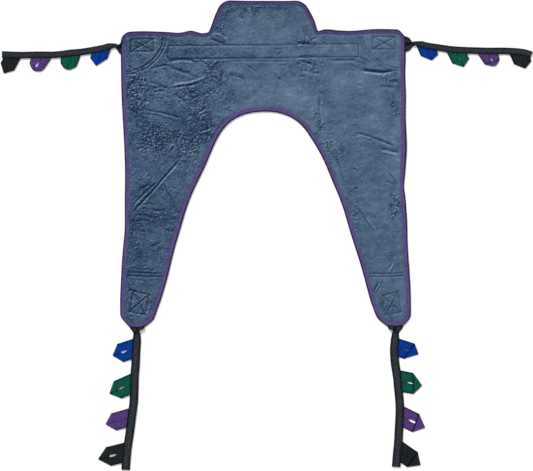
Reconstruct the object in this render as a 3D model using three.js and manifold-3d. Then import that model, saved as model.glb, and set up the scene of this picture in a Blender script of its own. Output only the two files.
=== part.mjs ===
// A divided-leg patient-lift sling with a head support, laid out flat with its plush face up.
// Millimetres. +Z is up, +Y is towards the head end, +X is to the right as seen from above.
// The origin is on the surface it lies on, under the middle of the whole sling.
import * as THREE from "three";
import { mergeVertices } from "three/addons/utils/BufferGeometryUtils.js";
import Module from "manifold-3d";

const wasm = await Module();
wasm.setup();

// Outline of the padded body. Each row is the right-hand half, as X and Y; the left half mirrors it.
const HEAD_CORNER = [128, 725];
const NECK_CORNER = [172, 631];
const SHOULDER_CORNER = [442, 632];
const SIDE = [[440, 560], [436, 330], [435, 100], [441, -40], [450, -170], [451, -215]];
const LEG_OUTER_CORNER = [450, -284];
const LEG_INNER_CORNER = [352, -284];
const THIGH_INSIDE = [[324, -203], [290, -79], [245, 70], [195, 194]];
const LEG_OPENING = [...THIGH_INSIDE, [150, 288], [110, 343], [60, 372], [0, 381]];
const HEAD_RADIUS = 45;
const NECK_RADIUS = 12;
const SHOULDER_RADIUS = 28;
const LEG_RADIUS = 38;
const CURVE_STEP = 26; // length of one straight step along a curved edge
const ARC_STEP = Math.PI / 12; // turn of one step round a corner

// Layers, from the surface up.
const BACKING_TOP = 1.6;
const PADDING_TOP = 6.4;
const FACE_TOP = 9;
const WEBBING = 1.5; // thickness of one layer of webbing
const PATCH = 1; // thickness of a reinforcement patch
const TAPE = 0.8; // thickness of the binding tape
const BINDING_WIDTH = 15; // what shows of the binding on each side
const GAP = 0.3; // room between a piece and the neighbour it is cut to fit

// Fold lines across the body. Stiff slabs this thick need the room to fold square on each other.
const FOLD_ROOM = 9.6;
const NECK_FOLD = 646;
const THIGH_FOLD = 170;
const OPENING_HALF_WIDTH = 230; // binding within this of the middle belongs to the leg opening

// Webbing straps. The tail is sewn flat inside the body; outside it is folded in half lengthwise.
const STRAP_WIDTH = 50;
const STRAP_THICKNESS = 4.5;
const TAIL_LENGTH = 108; // from the body's edge inwards, under its box of stitches
const ROOT_WIDTH = 46;
const PINCH_WIDTH = 17;
const PINCH_AT = 20;
const FOLDED_WIDTH = 25;
const FOLDED_FROM = 45;
const HINGE_ROOM = 3; // from the body's edge to the line that the strap flexes on
const STRAP_START = 0.5; // from that line to the strap
const STRAP_STEPS = 26;
const SHOULDER_LOOPS = { legLength: 20, at: [58, 153, 249, 344] };
const LEG_LOOPS = { legLength: 33, at: [66, 175, 284, 393] };

// Each strap's route as it lies: distance out from its flex line, and drift to its left. Its loops
// stand at the given distances; legLength is the slit's length, from the strap to the turned-back end.
const STRAPS = [
  {
    name: "shoulder_left",
    root: [-441, 585],
    heading: Math.PI,
    loopSide: 1,
    loops: SHOULDER_LOOPS,
    route: [[0, 0], [65, 8], [140, 18], [230, 27], [310, 27], [374, 23]],
  },
  {
    name: "shoulder_right",
    root: [441, 591],
    heading: 0,
    loopSide: -1,
    loops: SHOULDER_LOOPS,
    route: [[0, 0], [65, -7], [140, -15], [230, -20], [320, -23], [382, -33]],
  },
  {
    name: "leg_left",
    root: [-394, -284],
    heading: -Math.PI / 2,
    loopSide: -1,
    loops: LEG_LOOPS,
    route: [[0, 0], [80, -1], [200, -8], [300, -18], [380, -28], [443, -33]],
  },
  {
    name: "leg_right",
    root: [405, -284],
    heading: -Math.PI / 2,
    loopSide: 1,
    loops: LEG_LOOPS,
    route: [[0, 0], [80, -1], [160, 7], [260, 16], [350, 13], [443, 3]],
  },
];

// Attachment loops, from the body outwards: a flat webbing strip turned back by two mitre folds.
const LOOP_COLOURS = ["blue", "green", "purple", "black"];
const LOOP_WEBBING = 25;
const LOOP_SLIT = 7;
const LOOP_LEAN = THREE.MathUtils.degToRad(22); // lean towards the strap's free end
const LOOP_THICKNESS = 3;
const LOOP_HINGE_ROOM = 3; // from the strap's edge to the line that the loop flexes on

// Sewing. The channel runs across the back, the arcs round the shoulders, the seams across the legs.
const THREAD_WIDTH = 1.2;
const THREAD_HEIGHT = 0.5;
const TWIN_LINES = 6; // between the two lines of a double seam
const CHANNEL_CENTRE = 566;
const CHANNEL_HALF_LENGTH = 295;
const CHANNEL_WIDTH = 41;
const CROSS_WEBBING_WIDTH = 38;
const CROSS_WEBBING_LENGTH = 584;
const SHOULDER_BOX = { centre: [374, 588], size: [70, 38], turn: 0 };
const LEG_BOX = { centre: [390.5, -213.5], size: [50, 64], turn: THREE.MathUtils.degToRad(10) };
const ARC_CENTRE = [428, 632];
const ARC_RADIUS = 127;
const ARC_FROM = THREE.MathUtils.degToRad(190);
const ARC_TO = THREE.MathUtils.degToRad(267);
const ARC_PIECES = 12;
const LEG_SEAM_Y = -124;
const LEG_SEAM_ENDS = [322, 427];
const PATCH_MARGIN = 8; // patch beyond the seam that holds it

const material = (color, roughness) => ({ color, roughness, metalness: 0 });
const PLUSH = material(0x51657e, 0.95);
const BACKING = material(0x3d4c60, 0.8);
const WADDING = material(0xd8d8d2, 1);
const BINDING = material(0x5a448c, 0.8);
const THREAD = material(0x3c4f68, 0.7);
const STRAP_BLACK = material(0x2c2f35, 0.75);
const LOOP_MATERIALS = {
  blue: material(0x153e88, 0.7),
  green: material(0x195449, 0.7),
  purple: material(0x533c75, 0.7),
  black: material(0x27292e, 0.7),
};

const sling = new THREE.Group();

function addPiece(parent, name, geometry, look) {
  const mesh = new THREE.Mesh(geometry, new THREE.MeshStandardMaterial(look));
  mesh.name = name;
  parent.add(mesh);
  return mesh;
}

// ---- Outlines ----

const vector = ([x, y]) => new THREE.Vector2(x, y);
const mirror = ([x, y]) => [-x, y];

// The points of a smooth curve through the given ones, about a step apart.
function curve(rows) {
  const spline = new THREE.SplineCurve(rows.map(vector));
  return spline.getSpacedPoints(Math.round(spline.getLength() / CURVE_STEP));
}

// The points of the arc that rounds a corner off.
function fillet(before, corner, after, radius) {
  const back = before.clone().sub(corner).normalize();
  const ahead = after.clone().sub(corner).normalize();
  const half = back.angleTo(ahead) / 2;
  const reach = radius / Math.tan(half);
  const centre = back.clone().add(ahead).setLength(radius / Math.sin(half)).add(corner);
  const start = corner.clone().addScaledVector(back, reach);
  const turn = (Math.PI - 2 * half) * Math.sign(ahead.cross(back));
  const steps = Math.ceil(Math.abs(turn) / ARC_STEP);
  return Array.from({ length: steps + 1 }, (_, i) => start.clone().rotateAround(centre, (turn * i) / steps));
}

// A closed outline from rows of points; a row with a third number is a corner of that radius.
function closedOutline(rows) {
  return rows.flatMap(([x, y, radius], i) => {
    const point = new THREE.Vector2(x, y);
    const before = vector(rows.at(i - 1));
    const after = vector(rows[(i + 1) % rows.length]);
    return radius ? fillet(before, point, after, radius) : [point];
  });
}

function bodyOutline() {
  const side = curve(SIDE).map((point) => point.toArray());
  const right = [
    [...HEAD_CORNER, HEAD_RADIUS],
    [...NECK_CORNER, NECK_RADIUS],
    [...SHOULDER_CORNER, SHOULDER_RADIUS],
    ...side,
    [...LEG_OUTER_CORNER, LEG_RADIUS],
    [...LEG_INNER_CORNER, LEG_RADIUS],
  ];
  const left = right.map(([x, y, radius]) => [-x, y, radius]).reverse();
  const opening = curve([...LEG_OPENING, ...LEG_OPENING.slice(0, -1).map(mirror).reverse()]);
  const clockwise = [...right, ...opening.map((point) => point.toArray()), ...left];
  return closedOutline(clockwise).reverse();
}

// An anticlockwise outline moved inwards, or outwards where the distance is below zero.
function inset(points, distance) {
  return points.map((point, i) => {
    const arriving = point.clone().sub(points.at(i - 1)).normalize();
    const leaving = points[(i + 1) % points.length].clone().sub(point).normalize();
    const inward = new THREE.Vector2(-arriving.y - leaving.y, arriving.x + leaving.x);
    return point.clone().addScaledVector(inward, distance / (1 + arriving.dot(leaving)));
  });
}

function rectangle([centreX, centreY], [width, height], turn = 0) {
  const corners = [[-1, -1], [1, -1], [1, 1], [-1, 1]];
  const origin = new THREE.Vector2();
  return corners.map(([x, y]) => {
    const corner = new THREE.Vector2((x * width) / 2, (y * height) / 2).rotateAround(origin, turn);
    return corner.add(new THREE.Vector2(centreX, centreY));
  });
}

// ---- Solids ----

// A flat piece of an outline, from one height to another.
function slab(points, low, high, holes = []) {
  const shape = new THREE.Shape(points);
  shape.holes = holes.map((hole) => new THREE.Path(hole));
  const geometry = new THREE.ExtrudeGeometry(shape, { depth: high - low, bevelEnabled: false });
  return geometry.translate(0, 0, low);
}

function solid(geometry) {
  const bare = geometry.clone();
  bare.deleteAttribute("normal");
  bare.deleteAttribute("uv");
  const merged = mergeVertices(bare);
  const triVerts = new Uint32Array(merged.index.array);
  const vertProperties = new Float32Array(merged.attributes.position.array);
  return new wasm.Manifold(new wasm.Mesh({ numProp: 3, vertProperties, triVerts }));
}

function geometryOf(manifold) {
  const mesh = manifold.getMesh();
  const geometry = new THREE.BufferGeometry();
  geometry.setAttribute("position", new THREE.BufferAttribute(mesh.vertProperties, 3));
  geometry.setIndex(new THREE.BufferAttribute(mesh.triVerts, 1));
  geometry.computeVertexNormals();
  return geometry;
}

const solidSlab = (points, low, high) => solid(slab(points, low, high));

// A block over part of the plan, for cutting a zone out of a layer.
function block([left, right], [near, far], [low, high] = [-10, FACE_TOP + 10]) {
  const centre = [(left + right) / 2, (near + far) / 2];
  return solidSlab(rectangle(centre, [right - left, far - near]), low, high);
}

const OUTLINE = bodyOutline();
const REACH = 1000; // beyond every edge of the body
const TORSO_Y = [THIGH_FOLD + FOLD_ROOM / 2, NECK_FOLD - FOLD_ROOM / 2];
const HEAD_Y = [NECK_FOLD + FOLD_ROOM / 2, REACH];
const THIGH_Y = [-REACH, THIGH_FOLD - FOLD_ROOM / 2];
const ZONES = {
  torso: block([-REACH, REACH], TORSO_Y),
  head: block([-REACH, REACH], HEAD_Y),
  thigh_left: block([-REACH, 0], THIGH_Y),
  thigh_right: block([0, REACH], THIGH_Y),
};

// ---- Strap anchors ----

const SIDES = { left: -1, right: 1 };
const onSide = (points, side) => anticlockwise(points.map(({ x, y }) => new THREE.Vector2(side * x, y)));

function anticlockwise(points) {
  return THREE.ShapeUtils.isClockWise(points) ? [...points].reverse() : points;
}

// The strap's flat tail in plan, from its root on the body's edge to beyond the box of stitches.
function tailOutline({ name, root: place }) {
  const box = name.startsWith("leg") ? LEG_BOX : SHOULDER_BOX;
  const edge = vector(place);
  const [centreX, centreY] = box.centre;
  const inward = new THREE.Vector2(Math.sign(edge.x) * centreX, centreY).sub(edge).normalize();
  const across = new THREE.Vector2(-inward.y, inward.x).multiplyScalar(STRAP_WIDTH / 2);
  const end = edge.clone().addScaledVector(inward, TAIL_LENGTH);
  const root = [edge.clone().add(across), edge.clone().sub(across)];
  return anticlockwise([...root, end.clone().sub(across), end.clone().add(across)]);
}

// The patch under the quarter-round seam, and the one from the seam across the leg down to its tip.
function patchOutlines() {
  const radius = ARC_RADIUS + PATCH_MARGIN;
  const sweep = Array.from({ length: ARC_PIECES + 1 }, (_, i) => Math.PI + (Math.PI / 2) * (i / ARC_PIECES));
  const round = sweep.map((angle) => onArc(angle, radius));
  const [cornerX, cornerY] = SHOULDER_CORNER;
  const shoulder = [...round, new THREE.Vector2(cornerX, cornerY - ARC_RADIUS), vector(SHOULDER_CORNER)];
  const top = LEG_SEAM_Y + PATCH_MARGIN;
  const leg = [[0, top], [0, -REACH], [REACH, -REACH], [REACH, top]].map(vector);
  return { shoulder, leg };
}

const onArc = (angle, radius) => {
  const centre = vector(ARC_CENTRE);
  return centre.add(new THREE.Vector2(Math.cos(angle), Math.sin(angle)).multiplyScalar(radius));
};

// ---- The padded body ----

const BODY = solidSlab(OUTLINE, 0, FACE_TOP);
const INSIDE_BINDING = inset(OUTLINE, BINDING_WIDTH + GAP);
const TAILS = Object.fromEntries(STRAPS.map((strap) => [strap.name, tailOutline(strap)]));
const CROSS_WEBBING = rectangle([0, CHANNEL_CENTRE], [CROSS_WEBBING_LENGTH, CROSS_WEBBING_WIDTH]);
const WEBBING_TOP = BACKING_TOP + WEBBING;
const PATCH_BOTTOM = PADDING_TOP - PATCH;

// Room that the webbing between the layers takes from its neighbours.
const webbingRoom = (outline) => solidSlab(inset(outline, -GAP), BACKING_TOP - GAP, WEBBING_TOP + GAP);

function patchSolids() {
  const inside = solidSlab(INSIDE_BINDING, PATCH_BOTTOM, PADDING_TOP);
  const made = {};
  for (const [kind, points] of Object.entries(patchOutlines())) {
    for (const [sideName, side] of Object.entries(SIDES)) {
      const plan = solidSlab(onSide(points, side), PATCH_BOTTOM, PADDING_TOP);
      made[`${kind}_${sideName}`] = plan.intersect(inside);
    }
  }
  return made;
}

// The same patches, grown by the gap, as room cut from the padding.
function patchRoom() {
  const inside = solidSlab(inset(OUTLINE, BINDING_WIDTH), PATCH_BOTTOM - GAP, PADDING_TOP + GAP);
  return Object.values(patchOutlines()).flatMap((points) =>
    Object.values(SIDES).map((side) => {
      const grown = inset(onSide(points, side), -GAP);
      return solidSlab(grown, PATCH_BOTTOM - GAP, PADDING_TOP + GAP).intersect(inside);
    }),
  );
}

// The binding tape wraps the edge: it covers a strip of the face, the edge and a strip of the back.
function bindingSolid() {
  const window = solidSlab(inset(OUTLINE, BINDING_WIDTH), -1, FACE_TOP + 1);
  const filling = solidSlab(inset(OUTLINE, TAPE), TAPE, FACE_TOP - TAPE);
  const slots = Object.values(TAILS).map(webbingRoom);
  return slots.reduce((tape, slot) => tape.subtract(slot), BODY.subtract(window).subtract(filling));
}

// One layer of the body with its edge let in under the binding.
function layerSolid(low, high) {
  const edge = solidSlab(inset(OUTLINE, TAPE + GAP), low, high);
  const beyond = solidSlab(inset(OUTLINE, -1), -1, FACE_TOP + 1);
  const border = beyond.subtract(solidSlab(INSIDE_BINDING, -2, FACE_TOP + 2));
  const tapes = [
    [-2, TAPE + GAP],
    [FACE_TOP - TAPE - GAP, FACE_TOP + 2],
  ];
  return tapes.reduce((layer, [from, to]) => {
    const level = block([-REACH, REACH], [-REACH, REACH], [from, to]);
    return layer.subtract(border.intersect(level));
  }, edge);
}

function addLayers() {
  const rooms = [...Object.values(TAILS), CROSS_WEBBING].map(webbingRoom).concat(patchRoom());
  const padding = rooms.reduce((layer, room) => layer.subtract(room), layerSolid(BACKING_TOP, PADDING_TOP));
  const layers = [
    ["backing", layerSolid(0, BACKING_TOP), BACKING],
    ["padding", padding, WADDING],
    ["face", layerSolid(PADDING_TOP, FACE_TOP), PLUSH],
  ];
  for (const [layerName, layer, look] of layers) {
    for (const [zoneName, zone] of Object.entries(ZONES)) {
      addPiece(sling, `${layerName}_${zoneName}`, geometryOf(layer.intersect(zone)), look);
    }
  }
}

function addBinding() {
  const opening = block([-OPENING_HALF_WIDTH, OPENING_HALF_WIDTH], [TORSO_Y[0], CHANNEL_CENTRE]);
  const zones = {
    head: ZONES.head,
    back_left: block([-REACH, 0], TORSO_Y).subtract(opening),
    back_right: block([0, REACH], TORSO_Y).subtract(opening),
    leg_opening: opening,
    thigh_left: ZONES.thigh_left,
    thigh_right: ZONES.thigh_right,
  };
  const tape = bindingSolid();
  for (const [name, zone] of Object.entries(zones)) {
    addPiece(sling, `binding_${name}`, geometryOf(tape.intersect(zone)), BINDING);
  }
}

function addReinforcement() {
  addPiece(sling, "cross_webbing", slab(CROSS_WEBBING, BACKING_TOP, WEBBING_TOP), STRAP_BLACK);
  for (const [name, patch] of Object.entries(patchSolids())) {
    addPiece(sling, `patch_${name}`, geometryOf(patch), BACKING);
  }
  for (const [name, outline] of Object.entries(TAILS)) {
    const tail = solidSlab(outline, BACKING_TOP, WEBBING_TOP).intersect(BODY);
    addPiece(sling, `strap_tail_${name}`, geometryOf(tail), STRAP_BLACK);
  }
}

// ---- Sewing ----

// One closed line of stitches on the face.
function threadRing(points) {
  const window = inset(points, THREAD_WIDTH / 2);
  return slab(inset(points, -THREAD_WIDTH / 2), FACE_TOP, FACE_TOP + THREAD_HEIGHT, [window]);
}

// A box of stitches with a cross in it.
function boxStitch({ centre, size, turn }, side) {
  const corners = onSide(rectangle(centre, size, turn), side);
  const middle = new THREE.Vector2(side * centre[0], centre[1]);
  const windows = corners.map((corner, i) => inset([middle, corner, corners[(i + 1) % 4]], THREAD_WIDTH / 2));
  return slab(inset(corners, -THREAD_WIDTH / 2), FACE_TOP, FACE_TOP + THREAD_HEIGHT, windows);
}

function shoulderArc(side) {
  const line = (radius) =>
    Array.from({ length: ARC_PIECES + 1 }, (_, i) =>
      onArc(THREE.MathUtils.lerp(ARC_FROM, ARC_TO, i / ARC_PIECES), radius),
    );
  const outer = line(ARC_RADIUS + TWIN_LINES / 2);
  const inner = line(ARC_RADIUS - TWIN_LINES / 2);
  return threadRing(onSide([...outer, ...inner.reverse()], side));
}

function legSeam(side) {
  const [inner, outer] = LEG_SEAM_ENDS;
  const centre = [(inner + outer) / 2, LEG_SEAM_Y];
  return threadRing(onSide(rectangle(centre, [outer - inner, TWIN_LINES]), side));
}

function addSewing() {
  const channel = rectangle([0, CHANNEL_CENTRE], [2 * CHANNEL_HALF_LENGTH, CHANNEL_WIDTH]);
  addPiece(sling, "stitch_channel", threadRing(channel), THREAD);
  for (const [sideName, side] of Object.entries(SIDES)) {
    addPiece(sling, `stitch_box_shoulder_${sideName}`, boxStitch(SHOULDER_BOX, side), THREAD);
    addPiece(sling, `stitch_box_leg_${sideName}`, boxStitch(LEG_BOX, side), THREAD);
    addPiece(sling, `stitch_arc_${sideName}`, shoulderArc(side), THREAD);
    addPiece(sling, `stitch_seam_leg_${sideName}`, legSeam(side), THREAD);
  }
}

// ---- Straps and their loops ----

// Width of the strap at a distance from its root: it leaves the edge open, pinches in and stays folded.
function strapWidth(distance) {
  const { lerp, smoothstep } = THREE.MathUtils;
  if (distance < PINCH_AT) return lerp(ROOT_WIDTH, PINCH_WIDTH, smoothstep(distance, 0, PINCH_AT));
  return lerp(PINCH_WIDTH, FOLDED_WIDTH, smoothstep(distance, PINCH_AT, FOLDED_FROM));
}

const leftOf = (direction) => new THREE.Vector2(-direction.y, direction.x);

function strapGeometry(route) {
  const length = route.getLength();
  const edges = { left: [], right: [] };
  for (let i = 0; i <= STRAP_STEPS; i += 1) {
    const distance = THREE.MathUtils.lerp(STRAP_START, length, i / STRAP_STEPS);
    const point = route.getPointAt(distance / length);
    const across = leftOf(route.getTangentAt(distance / length)).multiplyScalar(strapWidth(distance) / 2);
    edges.left.push(point.clone().add(across));
    edges.right.push(point.clone().sub(across));
  }
  return slab([...edges.right, ...edges.left.reverse()], 0, STRAP_THICKNESS);
}

// A loop from the line it flexes on: two legs with a slit between them, and the turned-back end.
// Its own X runs along the strap to the free end, and side says on which side of the strap it is.
function loopGeometry(side, legLength) {
  const half = LOOP_WEBBING + LOOP_SLIT / 2;
  const slit = LOOP_SLIT / 2;
  const start = (x) => (GAP + x * Math.sin(LOOP_LEAN)) / Math.cos(LOOP_LEAN);
  const upright = [
    [-half, start(-half)],
    [-half, legLength],
    [-slit, legLength + LOOP_WEBBING],
    [slit, legLength + LOOP_WEBBING],
    [half, legLength],
    [half, start(half)],
    [slit, start(slit)],
    [slit, legLength],
    [-slit, legLength],
    [-slit, start(-slit)],
  ];
  const origin = new THREE.Vector2();
  const leaning = upright.map((row) => vector(row).rotateAround(origin, -LOOP_LEAN));
  return slab(anticlockwise(leaning.map(({ x, y }) => new THREE.Vector2(x, side * y))), 0, LOOP_THICKNESS);
}

function addStrap({ name, root, heading, loopSide, loops, route }) {
  const group = new THREE.Group();
  group.rotation.z = heading;
  group.position.set(root[0] + HINGE_ROOM * Math.cos(heading), root[1] + HINGE_ROOM * Math.sin(heading), 0);
  sling.add(group);
  const line = new THREE.SplineCurve(route.map(vector));
  addPiece(group, `strap_${name}`, strapGeometry(line), STRAP_BLACK);
  loops.at.forEach((distance, i) => {
    const colour = LOOP_COLOURS[i];
    const along = line.getTangentAt(distance / line.getLength());
    const out = leftOf(along).multiplyScalar(loopSide * (FOLDED_WIDTH / 2 + LOOP_HINGE_ROOM));
    const hinge = line.getPointAt(distance / line.getLength()).add(out);
    const geometry = loopGeometry(loopSide, loops.legLength);
    const loop = addPiece(group, `loop_${name}_${colour}`, geometry, LOOP_MATERIALS[colour]);
    loop.position.set(hinge.x, hinge.y, 0);
    loop.rotation.z = Math.atan2(along.y, along.x);
  });
}

addLayers();
addBinding();
addReinforcement();
addSewing();
STRAPS.forEach(addStrap);

export default sling;
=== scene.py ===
"""The looks of a divided-leg patient-lift sling with a head support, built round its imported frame.

Design numbers are millimetres in the frame's own axes, and meshes are made in metres. The sling lies
flat with its plush face up: +Y is towards the head end and +Z is up.
"""
import functools
import itertools
import math
from collections import namedtuple

import bpy
import numpy as np
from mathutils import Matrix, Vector
from mathutils.kdtree import KDTree


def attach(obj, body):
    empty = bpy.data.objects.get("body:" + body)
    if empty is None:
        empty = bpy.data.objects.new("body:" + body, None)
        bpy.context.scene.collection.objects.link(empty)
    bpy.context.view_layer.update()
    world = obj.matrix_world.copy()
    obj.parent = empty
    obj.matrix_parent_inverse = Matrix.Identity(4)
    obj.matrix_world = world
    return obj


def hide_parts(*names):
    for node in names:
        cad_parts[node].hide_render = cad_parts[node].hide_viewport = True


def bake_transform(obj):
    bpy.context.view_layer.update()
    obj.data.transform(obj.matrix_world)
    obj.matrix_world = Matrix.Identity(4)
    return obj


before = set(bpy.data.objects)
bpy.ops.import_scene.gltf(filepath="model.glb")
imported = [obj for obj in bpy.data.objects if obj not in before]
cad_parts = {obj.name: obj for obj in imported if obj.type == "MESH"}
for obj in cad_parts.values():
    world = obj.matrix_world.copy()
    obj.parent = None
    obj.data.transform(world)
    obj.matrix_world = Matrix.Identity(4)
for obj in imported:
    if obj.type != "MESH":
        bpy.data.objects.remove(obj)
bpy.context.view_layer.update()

MM = 0.001
SIDES = {"left": -1, "right": 1}

# Outline of the padded body: the right-hand half, which the left half mirrors.
HEAD_CORNER = (128, 725, 45)
NECK_CORNER = (172, 631, 5)
SHOULDER_CORNER = (442, 632, 28)
SIDE = [(440, 560), (436, 330), (435, 100), (441, -40), (450, -170), (451, -215)]
LEG_CORNERS = [(450, -284, 38), (352, -284, 38)]
LEG_OPENING = [(324, -203), (290, -79), (245, 70), (195, 194), (150, 288), (110, 343), (60, 372), (0, 381)]
RING_STEP = 3.0  # spacing of the points on the outline
SIDE_STEP, OPENING_STEP = 20, 12  # spacing of the points that the two free curves are drawn with

# Lay-up of the body, and how it lies.
CELL = 2.7  # spacing of the lattice that the body's surfaces are made on
BINDING_WIDTH = 15
EDGE_THICKNESS = 3.2
PAD_THICKNESS = 8.2
LEAST_THICKNESS, LEAST_LAYER = 2.2, 0.5  # of the whole body, and of one layer
EDGE_SLOPE = 13  # distance in from the binding over which the padding swells
BORDER_LIFT = 1.1  # the backing's height above the floor at the bound edge
LAYERS = {  # share of the local thickness that each layer fills, from the underside up
    "backing": (0.0, 0.14),
    "webbing": (0.16, 0.34),
    "padding": (0.36, 0.62),
    "patch": (0.64, 0.70),
    "face": (0.72, 1.0),
}
PANELS = {"backing": (2, 2.5), "padding": (4, 9), "face": (1, 2.5)}  # lattice step, and inset of the edge
SPLIT_Y = 205  # the surfaces divide here, just above the fold of the thighs
FOLD_BEFORE, FOLD_AFTER = 5, 62  # distances before and after each fold's axis, handed to bend
ZONES = {  # the fold of each zone, which way along Y it lies from the fold, and the frame's names for it
    "upper": {"joint": "head_fold", "outward": 1, "nodes": ("torso", "head")},
    "thigh_left": {"joint": "thigh_left_fold", "outward": -1, "nodes": ("thigh_left",)},
    "thigh_right": {"joint": "thigh_right_fold", "outward": -1, "nodes": ("thigh_right",)},
}

# Sewing.
CHANNEL_CENTRE, CHANNEL_HALF, CHANNEL_WIDTH = 566, 295, 41
SHOULDER_BOX = ((374, 588), (70, 38), 0.0)
LEG_BOX = ((390.5, -213.5), (50, 64), math.radians(10))
ARC_CENTRE, ARC_RADIUS = (428, 632), 127
ARC_SWEEP = (math.radians(190), math.radians(267))
TWIN_OFFSETS = (-4.25, 4.25)  # of the two lines of a double seam from its middle
LEG_SEAM_Y, LEG_SEAM_ENDS = -124, (322, 427)
BINDING_SEAM = 10.8  # distance of the binding's stitch line from the edge
SEAM_REACH = 12  # how far from a seam the cloth and its shading feel it
THREAD_SIDES = 5
STITCH, SEAM_STITCH = 3.0, 3.2  # length of a stitch on the tape and straps, and in the body's seams
HALF_PITCH = 0.61  # half the distance from one stitch to the next, in stitch lengths
THREAD_LIFT = 0.08  # a strap's stitches above its webbing
ROW_OFFSET = 9.2  # of a folded strap's rows of stitches from its middle
BAR_HALF, BAR_DISTANCE = 8.5, 27  # half a bar's length, and how far it is from its loop
ROW_STEP = 4  # spacing of the points that a row is drawn with
END_ROOM = 5  # between the last stitch and a strap's end

# Webbing.
STRAP_WIDTH = 50
WEBBING = 1.3
TAIL_LENGTH = 108
LOOP_WEBBING = 25
LOOP_THICKNESS = 1.2
LOOP_ROOT = 13  # from the line that a loop flexes on back to the end of its leg, inside the strap

PAINTED_LIGHT_WAY = (0.45, -0.89)  # walls of creases and seams that rise this way face the key light and are painted paler, and walls the other way darker: painted light and shade
PAINTED_EDGE_LIGHT_WAY = (-0.6, 0.8)  # the padding's slope near the edge is painted paler where the way in from the edge is this one, and darker where it is the other way: painted light and shade


# ---------------------------------------------------------------- curves and the outline

def smoothstep(x, low, high):
    """0 up to low, 1 from high on, and a smooth rise between."""
    t = np.clip((np.asarray(x, float) - low) / (high - low), 0, 1)
    return t * t * (3 - 2 * t)


def bell(x):
    """1 at 0, falling to nothing at about 2 on each side."""
    return np.exp(-(x**2))


def spline(rows, step):
    """Points about a step apart on the Catmull-Rom curve through the rows."""
    rows = np.array(rows, float)
    ends = np.vstack([rows[:1], rows, rows[-1:]])
    runs = []
    for a, b, c, d in zip(ends, ends[1:], ends[2:], ends[3:]):
        count = max(2, int(np.linalg.norm(c - b) / step))
        t = np.linspace(0, 1, count, endpoint=False)[:, None]
        cubic = -a + 3 * b - 3 * c + d
        square = 2 * a - 5 * b + 4 * c - d
        runs.append((2 * b + (c - a) * t + square * t**2 + cubic * t**3) / 2)
    return np.vstack(runs + [rows[-1:]])


def turned(points, angle):
    """Points turned anticlockwise about the origin."""
    cos, sin = math.cos(angle), math.sin(angle)
    return np.asarray(points, float) @ np.array([(cos, sin), (-sin, cos)])


def fillet(before, corner, after, radius, step):
    """Points of the arc that rounds a corner off."""
    back = (before - corner) / np.linalg.norm(before - corner)
    ahead = (after - corner) / np.linalg.norm(after - corner)
    half = math.acos(np.clip(back @ ahead, -1, 1)) / 2
    bisector = (back + ahead) / np.linalg.norm(back + ahead)
    centre = corner + bisector * radius / math.sin(half)
    start = corner + back * radius / math.tan(half) - centre
    turn = (math.pi - 2 * half) * np.sign(ahead[0] * back[1] - ahead[1] * back[0])
    angles = np.linspace(0, turn, max(3, int(radius * abs(turn) / step)))
    cos, sin = np.cos(angles), np.sin(angles)
    return centre + np.stack([cos * start[0] - sin * start[1], sin * start[0] + cos * start[1]], 1)


def resample(points, step, closed=False):
    """The same line with evenly spaced points."""
    points = np.vstack([points, points[:1]]) if closed else np.asarray(points, float)
    along = np.concatenate([[0], np.cumsum(np.linalg.norm(np.diff(points, axis=0), axis=1))])
    count = max(2, int(round(along[-1] / step)))
    at = np.linspace(0, along[-1], count, endpoint=False) if closed else np.linspace(0, along[-1], count + 1)
    return np.stack([np.interp(at, along, points[:, i]) for i in range(points.shape[1])], 1)


def body_outline(step):
    """The body's edge as an anticlockwise ring of evenly spaced points."""
    right = [HEAD_CORNER, NECK_CORNER, SHOULDER_CORNER]
    right += [(x, y, 0) for x, y in spline(SIDE, SIDE_STEP)] + LEG_CORNERS
    left = [(-x, y, radius) for x, y, radius in reversed(right)]
    mirrored = [(-x, y) for x, y in reversed(LEG_OPENING[:-1])]
    opening = [(x, y, 0) for x, y in spline(LEG_OPENING + mirrored, OPENING_STEP)]
    rows = right + opening + left
    ring = []
    for i, (x, y, radius) in enumerate(rows):
        corner = np.array([x, y], float)
        before, after = np.array(rows[i - 1][:2], float), np.array(rows[(i + 1) % len(rows)][:2], float)
        ring.append(fillet(before, corner, after, radius, step) if radius else corner[None])
    return resample(np.vstack(ring)[::-1], step, closed=True)


def directions(points, closed=False):
    """Unit tangents along a line of points."""
    run = np.roll(points, -1, 0) - np.roll(points, 1, 0) if closed else np.gradient(points, axis=0)
    return run / np.maximum(np.linalg.norm(run, axis=1, keepdims=True), 1e-9)


def left_of(tangents):
    return np.stack([-tangents[:, 1], tangents[:, 0]], 1)


RING = body_outline(RING_STEP)
RING_INWARD = left_of(directions(RING, closed=True))
RING_TREE = KDTree(len(RING))
for index, point in enumerate(RING):
    RING_TREE.insert((*point, 0), index)
RING_TREE.balance()


def edge_distance(plan):
    """For each point, its distance inside the edge (below 0 outside) and the nearest ring point."""
    nearest = np.array([RING_TREE.find((x, y, 0))[1] for x, y in plan])
    depth = ((plan - RING[nearest]) * RING_INWARD[nearest]).sum(1)
    return np.sign(depth) * np.linalg.norm(plan - RING[nearest], axis=1), nearest


# ---------------------------------------------------------------- sewing lines

def box_lines(box, side):
    """The closed square and the two diagonals of a box of stitches."""
    centre, (width, height), turn = box
    corners = np.array([(-1, -1), (1, -1), (1, 1), (-1, 1)]) * (width / 2, height / 2)
    corners = (turned(corners, turn) + centre) * (side, 1)
    return [np.vstack([corners, corners[:1]]), corners[[0, 2]], corners[[1, 3]]]


def shoulder_arcs(side):
    """The two quarter-round lines round a shoulder's box."""
    angles = np.linspace(*ARC_SWEEP, 24)
    rays = np.stack([np.cos(angles), np.sin(angles)], 1)
    return [(rays * (ARC_RADIUS + offset) + ARC_CENTRE) * (side, 1) for offset in TWIN_OFFSETS]


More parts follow.
